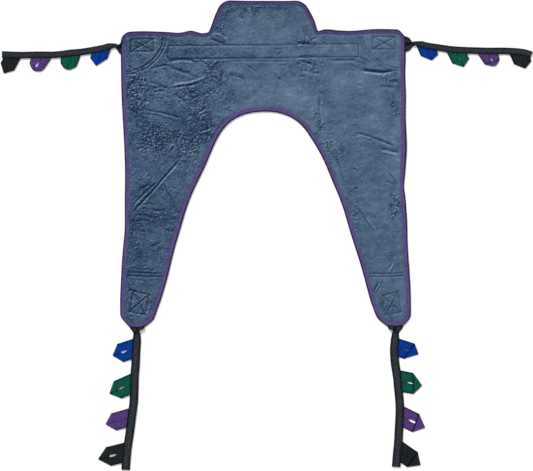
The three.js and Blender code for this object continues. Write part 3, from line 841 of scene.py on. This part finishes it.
def binding_look():
    """Purple twill tape, its crown paler than its turned edge, which has painted shade, with small puckers at
    its seam.
    """
    look = Look("binding", 0.8, sheen=0.05, sheen_tint=(170, 150, 215), specular=0.1)
    u, v = look.axes()
    twill = look.wave(u + v, 0.0013)
    wear = look.noise(70, 3, 0.6, 0.5)
    puckers = look.noise(190, 2, 0.5, 0.6, look.stretched(0.0, 0.35))
    tone = wear.scaled(0.3, 0.7) + puckers.scaled(-0.2, 0.2) + twill * 0.05
    # painted shade on the turned edge, where across falls to 0
    tone = (tone - (1.0 - look.value_of("across")) * 0.9).clamped()
    look.colour(tone, (0.0, (24, 20, 46)), (0.18, (48, 41, 78)), (0.5, (80, 68, 118)), (1.0, (102, 88, 145)))
    look.bump(puckers.scaled(0, 1.2) + twill * 0.12, 0.6, 0.0008)
    return look.material


def webbing_look(name, shades, width, rim, second_rim):
    """Herringbone webbing with painted shade along its edges and its fold; that shade is always strong at the
    edge first across it, and second_rim sets it at the rest.
    """
    look = Look(name, 0.8, specular=0.05)
    u, v = look.axes()
    ribs = look.wave(v + look.math("PINGPONG", u, 0.0032), 0.0017)
    cross = look.wave(u, 0.0011)
    fuzz = look.noise(190, 3, 0.65, 0.5)
    middle = width * MM / 2
    # painted shade within rim millimetres of each edge and of the fold
    edge_shade = (1.0 - look.math("PINGPONG", u, middle) / (rim * MM)).clamped()
    edge_shade_strength = look.math("GREATER_THAN", u, middle).scaled(0.75, second_rim)
    tone = (fuzz.scaled(-0.1, 1.15) + ribs * 0.12 + cross * 0.05 - edge_shade * edge_shade_strength).clamped()
    look.colour(tone, *zip((0.05, 0.5, 0.95), shades))
    look.bump(ribs + cross * 0.5, 0.5, 0.00025)
    return look.material


def thread_look(name, dark, light):
    """Plied thread."""
    look = Look(name, 0.6, specular=0.4)
    ply = look.noise(700, 2, 0.5, 1.0)
    look.colour(ply, (0.3, dark), (0.7, light))
    look.bump(ply, 0.4, 0.0002)
    return look.material


STRAP_SHADES = ((8, 10, 12), (38, 44, 49), (66, 72, 78))
LOOP_SHADES = {  # in order out along a strap
    "blue": ((0, 12, 56), (0, 48, 130), (14, 74, 166)),
    "green": ((0, 26, 20), (6, 74, 62), (30, 100, 88)),
    "purple": ((28, 14, 46), (76, 51, 110), (98, 72, 134)),
    "black": ((6, 8, 10), (24, 28, 31), (46, 51, 55)),
}
MATERIALS = {
    "face": plush_look(),
    "backing": backing_look(),
    "padding": wadding_look(),
    "binding": binding_look(),
    "webbing": webbing_look("webbing", STRAP_SHADES, STRAP_WIDTH / 2, 7.5, 0.75),
    **{f"loop_{colour}": webbing_look(f"loop_{colour}", shades, LOOP_WEBBING, 5, 0.1)
       for colour, shades in LOOP_SHADES.items()},
    "thread": thread_look("thread", (14, 30, 52), (38, 58, 84)),
    "thread_binding": thread_look("thread_binding", (44, 30, 88), (74, 54, 124)),
    "thread_strap": thread_look("thread_strap", (26, 28, 31), (62, 67, 70)),
}


# ---------------------------------------------------------------- how pieces belong to the frame

def finish_piece(replaced=()):
    """Hides the frame's solids that a piece stands for."""
    if replaced:
        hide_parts(*replaced)


def bend(piece, joint_name, outward, before, after):
    """Bakes a piece's transform into its mesh; joint_name, before and after are not used."""
    outward = Vector((*outward, 0)) * MM
    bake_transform(piece)


def follow(piece, zone):
    """Keeps the leg opening's edge with the torso by attaching it; a piece of any other zone only has its
    transform baked.
    """
    if zone == "opening":
        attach(piece, "torso")
    else:
        bend(piece, ZONES[zone]["joint"], (0, ZONES[zone]["outward"]), FOLD_BEFORE, FOLD_AFTER)


# ---------------------------------------------------------------- the padded body

def zone_quads(zone, step, inset):
    """Lattice cells of one zone whose corners are all inside the edge."""
    columns, rows = CLOTH.size
    split = int(round((SPLIT_Y - CLOTH.low[1]) / CELL))
    starts = np.arange(0, columns - step, step), np.arange(split % step, rows - step, step)
    i, j = (part.ravel() for part in np.meshgrid(*starts, indexing="ij"))
    here, right = i * rows + j, (i + step) * rows + j
    quads = np.stack([here, right, right + step, here + step], 1)
    kept = (CLOTH.depth[quads] > inset).all(1)
    if zone == "upper":
        return quads[kept & (j >= split)]
    side = SIDES[zone.split("_")[1]]
    return quads[kept & (j < split) & (CLOTH.plan[quads].mean(1)[:, 0] * side > 0)]


def thinnest(step):
    """Thickness of the body, or where cells are coarse the least thickness within one cell."""
    least = CLOTH.thick
    for axis in (0, 1) if step > 2 else ():
        least = np.min([np.roll(least, shift, axis) for shift in range(-step, step + 1)], axis=0)
    return least


def lattice_normals(share):
    """Normals of one level of the body at every lattice point."""
    slope_x, slope_y = np.gradient(CLOTH.under + share * CLOTH.thick, CELL)
    normals = np.stack([-slope_x, -slope_y, np.ones_like(slope_x)], -1).reshape(-1, 3)
    return normals / np.linalg.norm(normals, axis=1, keepdims=True)


def pile_tone_and_shading():
    """Values for the plush at each lattice point: its tone, with painted light and shade on the padding's
    slope by the edge; painted shading of its slopes, creases and seams; and how far it is brushed.
    """
    plan = CLOTH.plan
    x, y = plan.T
    slope_x, slope_y = np.gradient(CLOTH.thick + CLOTH.under, CELL)
    lit = (slope_x * PAINTED_LIGHT_WAY[0] + slope_y * PAINTED_LIGHT_WAY[1]).ravel()
    rough = rough_pile(plan)
    right = smoothstep(x, -300, 40)
    low = 1 - smoothstep(y, -150, 250)
    shade = 0.437 + 0.13 * right - 0.04 * low - 0.04 * smoothstep(y, 620, 660) - 0.14 * rough
    # painted light and shade on the padding's slope by the edge, set by which way the edge faces
    shade += 0.15 * bell((CLOTH.depth - 14) / 20) * (RING_INWARD[CLOTH.nearest] @ PAINTED_EDGE_LIGHT_WAY)
    for middle, sizes, strength in TONES:
        shade += strength * np.exp(-(((plan - middle) / sizes) ** 2).sum(1))
    return {
        "shade": shade + 0.035 * noise(plan, 51, 90, 300),
        # painted shading: slopes that face the key light painted paler and the others darker, plus the
        # painted shade and light of creases and seams
        "painted_shading": np.clip(0.55 * lit + drawn_lines(plan), -0.7, 0.5),
        "rough": np.maximum(rough, 0.08 + 0.2 * (1 - right)),
    }


PILE_TONE_AND_SHADING = pile_tone_and_shading()


def make_panel(layer, zone):
    """One layer of one zone: a thin closed sheet that shares its normals with its neighbours."""
    step, inset = PANELS[layer]
    low, high = LAYERS[layer]
    used, local = np.unique(zone_quads(zone, step, inset), return_inverse=True)
    quads = local.reshape(-1, 4)
    plan = CLOTH.plan[used]
    laid = lay(plan)
    under = CLOTH.under.ravel()[used]
    bottom = under + low * CLOTH.thick.ravel()[used]
    top = np.maximum(under + high * thinnest(step).ravel()[used], bottom + LEAST_LAYER)
    sheet = shell(np.column_stack([laid, bottom]), np.column_stack([laid, top]), quads)
    normals = np.vstack([-lattice_normals(low)[used], lattice_normals(high)[used]])
    piece = make_cloth(f"sewn_{layer}_{zone}", sheet, plan * MM, layer, normals)
    if layer == "face":
        for name, values in PILE_TONE_AND_SHADING.items():
            add_float(piece, name, values[used])
    follow(piece, zone)
    finish_piece([f"{layer}_{node}" for node in ZONES[zone]["nodes"]])


# ---------------------------------------------------------------- binding

BINDING_TAPE = 0.7
TAPE_SIDE = 3  # height of the tape where it turns round the edge
BINDING_SECTION = [  # (distance in from the edge, 1 on the plush side or 0 on the underside, height off it)
    (14.0, 1, 0.1), (13.4, 1, 0.45), (12.2, 1, 0.5), (BINDING_SEAM, 1, 0.15), (9.2, 1, 0.55), (7.2, 1, 0.8),
    (4.8, 1, 0.8), (2.6, 1, 0.5), (1.1, 1, -0.1), (0.4, 0.75, 0.0), (0.35, 0.3, 0.0), (1.1, 0, 0.0),
    (2.6, 0, -0.3), (4.8, 0, -0.42), (7.2, 0, -0.45), (9.2, 0, -0.42), (BINDING_SEAM, 0, -0.3),
    (12.2, 0, -0.42), (13.4, 0, -0.4), (14.0, 0, -0.05),
]
BINDING_NODES = {
    "upper": ["binding_head", "binding_back_left", "binding_back_right"],
    "opening": ["binding_leg_opening"],
    "thigh_left": ["binding_thigh_left"],
    "thigh_right": ["binding_thigh_right"],
}


def ring_strips():
    """The edge as four runs of ring points: the upper body, each thigh, and the leg opening."""
    above = RING[:, 1] >= SPLIT_Y
    crossings = np.flatnonzero(above != np.roll(above, 1))
    start = crossings[np.argmax(RING[crossings, 0])]
    order = np.roll(np.arange(len(RING)), -start)
    stops = sorted((crossings - start) % len(RING)) + [len(RING)]
    runs = [np.take(order, np.arange(a, b + 1), mode="wrap") for a, b in zip(stops, stops[1:])]
    return dict(zip(("upper", "thigh_left", "opening", "thigh_right"), runs))


def binding_grid(run):
    """Middle surface of the tape along a run of the edge."""
    edge, inward = RING[run], RING_INWARD[run]
    ripple = 0.12 * noise(edge, 61, 9, 26) + 0.1 * noise(edge, 62, 24, 80)
    rows = []
    for distance, share, lift in BINDING_SECTION:
        plan = edge + inward * distance
        crown = bell((distance - 6) / 5) * (1 if share else 0.3)
        rows.append(np.column_stack([lay(plan), CLOTH.height(plan, share) + lift + ripple * crown]))
    return np.stack(rows, 1)


def make_binding(name, run):
    """The tape folded round one run of the edge."""
    distances, shares, lifts = np.diff(BINDING_SECTION, axis=0).T
    widths = np.concatenate([[0], np.cumsum(np.hypot(distances, lifts) + np.abs(shares) * TAPE_SIDE)])
    along = np.arange(len(run)) * RING_STEP
    uv = np.stack(np.meshgrid(along, widths, indexing="ij"), -1).reshape(-1, 2) * MM
    piece = make_cloth(f"tape_{name}", ribbon(binding_grid(run), BINDING_TAPE), uv, "binding")
    # across falls to 0 at the turned edge, where the tape's colour has painted shade
    across = smoothstep([row[0] for row in BINDING_SECTION], 1.6, 5.4)
    # the tape's colour is made darker towards the head end
    darker_to_head = 1 - 0.15 * smoothstep(RING[run][:, 1], 560, 640)
    add_float(piece, "across", np.outer(darker_to_head, across).ravel())
    follow(piece, name)
    finish_piece(BINDING_NODES[name])


# ---------------------------------------------------------------- sewing

STITCH_RINGS = ((-0.5, 0.3, 0.5), (-0.3, 1, 0), (0.3, 1, 0), (0.5, 0.3, 0.5))  # (along, girth, dip)


def stitches(line, place, stitch, radius):
    """Rings of points of one thread stitch after another, each dipping into the cloth at its ends.

    place gives the points in space of points in plan.
    """
    points = resample(line, stitch * HALF_PITCH)
    points = points[: (len(points) - 1) // 2 * 2 + 1]
    middles, tangents = points[1::2], directions(points)[1::2]
    sides = left_of(tangents)
    made = []
    for offset, girth, dip in STITCH_RINGS:
        for turn in np.arange(THREAD_SIDES) * 2 * math.pi / THREAD_SIDES:
            spot = middles + tangents * offset * stitch + sides * girth * radius * math.cos(turn)
            made.append(place(spot) + (0, 0, girth * radius * math.sin(turn) - dip * radius))
    return np.stack(made, 1)


def thread_object(name, parts, look):
    """Several lots of stitches as one piece."""
    rings = np.concatenate(parts)
    count = THREAD_SIDES
    each = [(start + i, start + (i + 1) % count, start + count + (i + 1) % count, start + count + i)
            for start in range(0, 3 * count, count) for i in range(count)]
    each += [range(count)[::-1], range(3 * count, 4 * count)]
    faces = [[4 * count * n + corner for corner in face] for n in range(len(rings)) for face in each]
    points = rings.reshape(-1, 3)
    return make_object(name, points, faces, points[:, :2] * MM, MATERIALS[look])


def on_cloth(plan, share, lift):
    """Points just off the plush, where share is 1, or off the underside, where it is 0."""
    return np.column_stack([lay(plan), CLOTH.height(plan, share) + (lift if share else -lift)])


def sewn_through(lines, stitch, top, below):
    """Stitches on both sides of the body; top and below are (height off the cloth, radius)."""
    return [stitches(line, functools.partial(on_cloth, share=share, lift=lift), stitch, radius)
            for share, (lift, radius) in ((1, top), (0, below)) for line in lines]


def make_binding_seam(name, run):
    """The stitches that hold the tape."""
    line = RING[run] + RING_INWARD[run] * BINDING_SEAM
    parts = sewn_through([line], STITCH, (0.72, 0.33), (0.62, 0.3))
    piece = thread_object(f"thread_binding_{name}", parts, "thread_binding")
    follow(piece, name)
    finish_piece()


def make_seam(name, lines):
    """A decorative or holding seam."""
    parts = sewn_through(lines, SEAM_STITCH, (0.15, 0.6), (0.12, 0.3))
    piece = thread_object(name.replace("stitch", "thread"), parts, "thread")
    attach(piece, "thigh_" + name.rsplit("_", 1)[1] if "_leg_" in name else "torso")
    finish_piece([name])


# ---------------------------------------------------------------- pieces inside the lay-up

INNER_CELL = 6
PATCH_MARGIN = 16  # how much wider and longer a patch is than its box of stitches


def inner_sheet(name, centre, size, turn, layer, body, look):
    """A rectangle of webbing or cloth that lies between the layers."""
    rows, columns = (np.linspace(-length / 2, length / 2, max(3, int(length / INNER_CELL)))
                     for length in size)
    flat = np.stack(np.meshgrid(rows, columns, indexing="ij"), -1).reshape(-1, 2)
    plan = turned(flat, turn) + centre
    laid = lay(plan)
    low, high = (np.column_stack([laid, CLOTH.height(plan, share)]) for share in LAYERS[layer])
    sheet = shell(low, high, grid_quads(len(rows), len(columns))[:, ::-1])
    piece = make_cloth(f"inner_{name}", sheet, plan * MM, look)
    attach(piece, body)
    finish_piece([name])
    size[0] * MM
    size[1] * MM


# ---------------------------------------------------------------- straps

HINGE_ROOM = 3  # from the body's edge to the line that a strap flexes on
LOOP_HINGE_ROOM = 3  # from a strap's edge to the line that a loop flexes on
PINCH_AT, FOLDED_FROM = 20, 45
FLOOR_GAP = 0.3
STRAP_STEP = 3
HALF_WEBBING = STRAP_WIDTH / 2
FINE = np.linspace(HALF_WEBBING, -HALF_WEBBING, 121)  # across the webbing, to work its fold out
KEPT = np.concatenate([np.linspace(HALF_WEBBING, 3.4, 7), np.linspace(2.6, -2.6, 9),
                       np.linspace(-3.4, -HALF_WEBBING, 7)])  # across the webbing, for its mesh
STRAP_BEND, LOOP_BEND = (4, 17), (3.5, 10)  # distances before and after a flex line, for straps and for loops, handed to bend
LAYERS_APART = 1.9  # the two layers of a folded strap, middle to middle
LOOP_ROOM, LOOP_ROOM_HALF = 0.95, 46  # how much further apart they are at a loop, and over what distance
UV_SHIFTS = 200, 60  # added along a strap and along a loop, so that their uv stays above 0

# at: distance along its strap. lean: degrees. slit: its length. reach: of the pointed end past the
# slit. half: half the loop's width. opened: how open the slit is, and rounded: how round the end is,
# from 0 to 1. on_top: whether the turned end lies on the legs. skew: how far the end is pushed aside.
Loop = namedtuple("Loop", "at lean slit reach half opened on_top skew rounded", defaults=(0, False, 0, 0))

# How each strap lies. Its route is distance out from its flex line and drift to its left; width and
# pinch are shares of its folded width.
STRAPS = {
    "shoulder_left": {
        "root": (-441, 585), "heading": math.pi, "loop_side": 1, "width": 0.82, "pinch": 0.55,
        "route": [(0, 6), (20, 0), (38, 2), (60, 8), (116, 18), (156, 22), (206, 28), (260, 28), (316, 29),
                  (371, 27)],
        "loops": [Loop(70, 31, 16, 25, 25.5, skew=-0.3), Loop(163, 27, 25, 22, 27, skew=-0.15, rounded=0.9),
                  Loop(254, 33, 30, 19, 25.5, opened=0.9, rounded=0.75), Loop(345, 26, 25, 24, 24)],
    },
    "shoulder_right": {
        "root": (441, 591), "heading": 0.0, "loop_side": -1, "width": 0.82, "pinch": 0.55,
        "route": [(0, -1), (18, 1), (38, -1), (56, -6), (96, -12), (116, -15), (156, -19), (236, -22),
                  (296, -22), (336, -24), (360, -27), (382, -34)],
        "loops": [Loop(62, 33, 15, 18, 26, skew=-0.35, rounded=0.1),
                  Loop(154, 30, 22, 21, 27, opened=0.1, skew=-0.2),
                  Loop(250, 34, 23, 20, 26, 0.35, True, -0.3, 0.75),
                  Loop(348, 30, 20, 21, 27, skew=-0.25, rounded=0.1)],
    },
    "leg_left": {
        "root": (-394, -284), "heading": -math.pi / 2, "loop_side": -1, "width": 1.06, "pinch": 0.84,
        "route": [(0, -3), (33, -3), (70, -5), (113, -7), (153, -10), (193, -11), (233, -13), (273, -18),
                  (313, -23), (353, -29), (393, -34), (442, -38)],
        "loops": [Loop(70, 21, 33, 26, 29.5, opened=0.8), Loop(179, 25, 37, 29, 29.5, opened=0.55),
                  Loop(285, 23, 39, 27, 27.5), Loop(394, 20, 40, 34, 30, opened=0.8)],
    },
    "leg_right": {
        "root": (405, -284), "heading": -math.pi / 2, "loop_side": 1, "width": 1.06, "pinch": 0.84,
        "route": [(0, -1), (33, -2), (73, -5), (113, -2), (153, 4), (193, 8), (233, 12), (273, 12),
                  (313, 10), (353, 8), (393, 4), (433, 1)],
        "loops": [Loop(64, 14, 30, 31, 27.5, 0.15, True, 0.33),
                  Loop(171, 17, 31, 30, 32.5, 0.6, True, -0.22, 0.1),
                  Loop(281, 24, 36, 33, 30, 1.0, True, -0.1), Loop(389, 29, 36, 31, 28.5, on_top=True)],
    },
}


def folded_section(fold, width, gap):
    """Distances across and heights of the kept points, where fold is 0 for flat and 1 for folded."""
    bent = HALF_WEBBING * (1 - fold) + gap * math.pi / 2 * fold
    angle = math.pi * fold * np.clip(0.5 - (FINE[1:] + FINE[:-1]) / 2 / bent, 0, 1)
    step = FINE[0] - FINE[1]
    across = HALF_WEBBING * (1 - fold / 2) - np.concatenate([[0], np.cumsum(np.cos(angle))]) * step
    height = np.concatenate([[0], np.cumsum(np.sin(angle))]) * step * (1 - 2.6 * fold * (1 - fold))
    return [np.interp(-KEPT, -FINE, values) for values in (across * width, height)]


class Strap:
    """A strap's line in plan, its folded section, and where its cloth lies."""

    def __init__(self, name, facts):
        self.name, self.facts = name, facts
        self.side = facts["loop_side"]
        self.out = turned([(1, 0)], facts["heading"])[0]
        self.origin = np.array(facts["root"]) + self.out * HINGE_ROOM
        start = -HINGE_ROOM - TAIL_LENGTH
        tail = [(x, facts["route"][0][1]) for x in np.arange(start, -1, STRAP_STEP)]
        self.line = resample(np.vstack([tail, spline(facts["route"], STRAP_STEP)]), STRAP_STEP)
        self.distance = np.arange(len(self.line)) * float(STRAP_STEP) + start
        self.tangents = directions(self.line)

    def to_plan(self, local):
        return turned(local, self.facts["heading"]) + self.origin

    def ahead(self, plan):
        """How far points in plan are from the flex line."""
        return turned(plan - self.origin, -self.facts["heading"])[:, 0]

    def point(self, distance):
        """Local point, tangent and left-hand normal at a distance out from the flex line."""
        spot, along = (np.array([np.interp(distance, self.distance, values) for values in rows.T])
                       for rows in (self.line, self.tangents))
        return spot, along, np.array([-along[1], along[0]])

    def level(self):
        """Height of the lower layer's middle: among the body's layers, then down on the floor."""
        plan = self.to_plan(self.line)
        inside = CLOTH.height(2 * plan - lay(plan), 0.25)
        floor = FLOOR_GAP + WEBBING / 2 + 0.5 * np.clip(noise(plan, 71, 50, 140), 0, 2)
        down = smoothstep(self.distance, -HINGE_ROOM, 16)
        return inside * (1 - down) + floor * down

    def gap(self):
        """Between the middles of the two layers: more where loops are sewn in."""
        near = [np.exp(-(((self.distance - loop.at) / LOOP_ROOM_HALF) ** 6)) for loop in self.facts["loops"]]
        return LAYERS_APART + LOOP_ROOM * np.max(near, axis=0)

    def grid(self):
        """Middle surface of the webbing, which folds in two as it leaves the body, and its uv."""
        fold = smoothstep(self.distance, -2, PINCH_AT + 2)
        pinched = smoothstep(self.distance, -14, PINCH_AT)
        pinched *= 1 - smoothstep(self.distance, PINCH_AT, FOLDED_FROM)
        full = 1 + (self.facts["width"] - 1) * smoothstep(self.distance, 0, FOLDED_FROM)
        width = full * (1 - (1 - self.facts["pinch"]) * pinched)
        rows = []
        normals = left_of(self.tangents)
        for spot, normal, level, *section in zip(self.line, normals, self.level(), fold, width, self.gap()):
            across, height = folded_section(*section)
            local = spot + np.outer(self.side * across, normal)
            rows.append(np.column_stack([self.to_plan(local), level + height]))
        along, over = np.meshgrid(self.distance + UV_SHIFTS[0], HALF_WEBBING - KEPT, indexing="ij")
        return np.stack(rows), np.stack([over, along], -1).reshape(-1, 2) * MM

    def seam_lines(self):
        """In plan, two rows of stitches along the folded strap, and a bar across it beside each loop."""
        width = self.facts["width"]
        last = self.distance[-1] - END_ROOM
        lines = []
        for across in (-ROW_OFFSET * width, ROW_OFFSET * width):
            spots = [self.point(at) for at in np.arange(FOLDED_FROM + ROW_STEP, last, ROW_STEP)]
            lines.append([spot + normal * self.side * across for spot, _, normal in spots])
        for loop, shift in itertools.product(self.facts["loops"], (-BAR_DISTANCE, BAR_DISTANCE)):
            if loop.at + shift < last:
                spot, _, normal = self.point(loop.at + shift)
                lines.append([spot - normal * BAR_HALF * width, spot + normal * BAR_HALF * width])
        return [self.to_plan(line) for line in lines]


def make_strap(strap, grid, uv):
    """The webbing of a strap, with its tail."""
    piece = make_cloth(f"webbing_{strap.name}", ribbon(grid, WEBBING), uv, "webbing")
    bend(piece, f"{strap.name}_strap_flex", strap.out, *STRAP_BEND)
    finish_piece([f"strap_{strap.name}", f"strap_tail_{strap.name}"])


def make_strap_sewing(strap, top):
    """The stitches that hold a strap folded, on the upper edge of its webbing."""
    ahead = strap.ahead(top[:, :2])
    order = np.argsort(ahead)

    def place(plan):
        height = np.interp(strap.ahead(plan), ahead[order], top[order, 2])
        return np.column_stack([plan, height + WEBBING / 2 + THREAD_LIFT])

    parts = [stitches(line, place, STITCH, 0.32) for line in strap.seam_lines()]
    piece = thread_object(f"thread_strap_{strap.name}", parts, "thread_strap")
    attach(piece, f"strap_{strap.name}")
    finish_piece()


# ---------------------------------------------------------------- loops

SLIT_GAP = 0.25  # half the gap between the two legs where the slit is shut
FOLD_BULGE = 0.5  # how far a mitre fold stands out past its own line
OPEN_BOW = 3.4  # how far each leg bows outwards where the slit is fully open
LAYER_GAP = 0.25  # between the legs and the turned end that lies on them or under them
LEG_SHARES, END_SHARES, ACROSS = (np.linspace(0, 1, count) for count in (15, 9, 8))
Levels = namedtuple("Levels", "root legs end")  # heights: a function of the distance along, and two numbers


def loop_leg(sign, t, lie, levels):
    """Rows across one leg of a loop from its root to its mitre fold, and the distance along of each point."""
    slit, lean = lie.slit, math.radians(lie.lean)
    root = -LOOP_ROOT / math.cos(lean) + sign * lie.half * (1 - t) * math.tan(lean)
    rows, along = [], []
    for share in LEG_SHARES:
        y = root + (slit + lie.reach * t - root) * share
        bulge = smoothstep(y, slit * 0.3, slit * 0.65) * (1 - smoothstep(y, slit * 0.9, slit + 4))
        x = lie.half - (lie.half - SLIT_GAP - OPEN_BOW * lie.opened * bulge) * t
        low = levels.root(sign * x)
        z = low + (levels.legs - low) * smoothstep(y, -2, slit * 0.75)
        rows.append(np.stack([sign * x, y, z], 1))
        along.append(y)
    return np.array(rows), np.array(along)


def loop_fold(sign, t, lie, levels):
    """Rows round a mitre fold, from the leg to the turned end."""
    rows = []
    for angle in np.radians((35, 90, 145)):
        out = FOLD_BULGE * math.sin(angle)
        level = levels.legs + (levels.end - levels.legs) * (1 - math.cos(angle)) / 2
        x = sign * (lie.half * (1 - t) + SLIT_GAP + out)
        rows.append(np.stack([x, lie.slit + lie.reach * t + out, np.full(len(t), level)], 1))
    return np.array(rows)


def settled(rows, lie):
    """The rows of a loop with its end pushed aside and its corners rounded."""
    x, y, z = np.moveaxis(rows, -1, 0)
    y = y - x * lie.skew * smoothstep(y, 0, lie.slit)
    middle = lie.slit * 0.45
    radius = np.hypot(x, y - middle)
    beyond = np.clip(radius - lie.half * 1.02, 0, None) * lie.rounded * (y > middle)
    shrink = 1 - beyond / np.maximum(radius, 1e-6)
    return np.stack([x * shrink, middle + (y - middle) * shrink, z], -1)


def loop_rows(lie, root_level):
    """Middle surface of a loop, upright, from one root over both mitre folds to the other, and its uv.

    root_level gives the height between the strap's two layers at a distance along it from the loop.
    """
    t = ACROSS
    low, high = FLOOR_GAP + LOOP_THICKNESS / 2, FLOOR_GAP + LOOP_THICKNESS * 1.5 + LAYER_GAP
    levels = Levels(root_level, low, high) if lie.on_top else Levels(root_level, high, low)
    (near, near_along), (far, far_along) = (loop_leg(sign, t, lie, levels) for sign in (-1, 1))
    near_fold, far_fold = (loop_fold(sign, t, lie, levels) for sign in (-1, 1))
    fold_line, across = lie.slit + lie.reach * t, lie.half * (1 - t) + SLIT_GAP
    end = [np.stack([across * (2 * share - 1), fold_line, np.full(len(t), levels.end)], 1)
           for share in END_SHARES]
    rows = np.concatenate([near, near_fold, end, far_fold[::-1], far[::-1]])
    end_along = [fold_line + 2 * across * share for share in END_SHARES]
    whole = 2 * (fold_line + across)
    along = np.concatenate([near_along, [fold_line] * 3, end_along, [whole - fold_line] * 3,
                            whole - far_along[::-1]])
    uv = np.stack([np.broadcast_to(t * LOOP_WEBBING, along.shape), along + UV_SHIFTS[1]], -1)
    return settled(rows, lie), uv.reshape(-1, 2) * MM


def make_loop(strap, number, colour):
    """One attachment loop, whose roots lie between the two layers of its strap."""
    facts = strap.facts
    lie = facts["loops"][number]
    spot, along, normal = strap.point(lie.at)
    between = strap.level() + strap.gap() / 2
    rows, uv = loop_rows(lie, lambda x: np.interp(lie.at + x, strap.distance, between))
    leaning = turned(rows[..., :2].reshape(-1, 2), -math.radians(lie.lean))
    leaning[:, 1] *= strap.side
    hinge = spot + normal * strap.side * (STRAP_WIDTH / 4 * facts["width"] + LOOP_HINGE_ROOM)
    plan = strap.to_plan(turned(leaning, math.atan2(along[1], along[0])) + hinge)
    ripple = 0.35 * np.clip(noise(plan, 81 + number, 16, 50), 0, None)
    grid = np.column_stack([plan, rows[..., 2].ravel() + ripple]).reshape(rows.shape)
    look = f"loop_{colour}"
    piece = make_cloth(f"webbing_{strap.name}_{colour}", ribbon(grid, LOOP_THICKNESS), uv, look)
    outward = turned(normal[None] * strap.side, facts["heading"])[0]
    bend(piece, f"{strap.name}_{colour}_loop_flex", outward, *LOOP_BEND)
    finish_piece([f"loop_{strap.name}_{colour}"])


# ---------------------------------------------------------------- floor, light and camera

VIEW_CENTRE = (4.65, -3.1)
VIEW_WIDTH = 1652
CAMERA_HEIGHT = 6000
SENSOR_WIDTH = 36
FLOOR_HALF, FLOOR_LEVEL = 6000, -1.0


def make_floor():
    """A wide floor, off white and all but even."""
    look = Look("floor", 0.9)
    look.colour(look.noise(3, 2, 0.5), (0.0, (250, 250, 250)), (1.0, (252, 252, 252)))
    corners = [(x * FLOOR_HALF, y * FLOOR_HALF, FLOOR_LEVEL) for x, y in ((-1, -1), (1, -1), (1, 1), (-1, 1))]
    uv = np.array(corners)[:, :2] * MM
    make_object("floor", corners, [(0, 1, 2, 3)], uv, look.material, smooth=False)


def make_lights():
    """One broad soft light from beyond the head end, a little to the left, in a bright white room."""
    data = bpy.data.lights.new("key", "SUN")
    data.energy, data.angle = 2.75, math.radians(24)
    key = bpy.data.objects.new("key", data)
    bpy.context.scene.collection.objects.link(key)
    key.rotation_euler = Vector((0.42, -0.85, -0.8)).to_track_quat("-Z", "Y").to_euler()
    world = bpy.data.worlds.new("studio")
    bpy.context.scene.world = world
    world.use_nodes = True
    background = world.node_tree.nodes["Background"]
    background.inputs["Color"].default_value = (1, 1, 1, 1)
    background.inputs["Strength"].default_value = 0.7


def make_camera():
    """A camera high above the sling, looking straight down."""
    data = bpy.data.cameras.new("camera")
    data.sensor_width = SENSOR_WIDTH
    data.lens = SENSOR_WIDTH * CAMERA_HEIGHT / VIEW_WIDTH
    data.clip_end = 50
    camera = bpy.data.objects.new("camera", data)
    camera.location = Vector((*VIEW_CENTRE, CAMERA_HEIGHT)) * MM
    bpy.context.scene.collection.objects.link(camera)
    bpy.context.scene.camera = camera


# ---------------------------------------------------------------- the whole sling

def make_body():
    """The padded body with its binding, its sewing and the pieces inside it."""
    for layer, zone in itertools.product(PANELS, ZONES):
        make_panel(layer, zone)
    for name, run in ring_strips().items():
        make_binding(name, run)
        make_binding_seam(name, run)
    for name, lines in SEAMS.items():
        make_seam(name, lines)
    inner_sheet("cross_webbing", (0, CHANNEL_CENTRE), (584, 38), 0, "webbing", "torso", "webbing")
    for name, side in SIDES.items():
        for place, box, body in (("shoulder", SHOULDER_BOX, "torso"), ("leg", LEG_BOX, f"thigh_{name}")):
            (x, y), size, turn = box
            inner_sheet(f"patch_{place}_{name}", (side * x, y), [length + PATCH_MARGIN for length in size],
                        side * turn, "patch", body, "backing")


def make_straps():
    """The four straps, each with its sewing and its loops."""
    for name, facts in STRAPS.items():
        strap = Strap(name, facts)
        grid, uv = strap.grid()
        make_strap(strap, grid, uv)
        make_strap_sewing(strap, grid[:, -1])
        for number, colour in enumerate(LOOP_SHADES):
            make_loop(strap, number, colour)


make_floor()
make_lights()
make_camera()
make_body()
make_straps()

bpy.context.scene.view_settings.view_transform = "Standard"
bpy.context.view_layer.update()
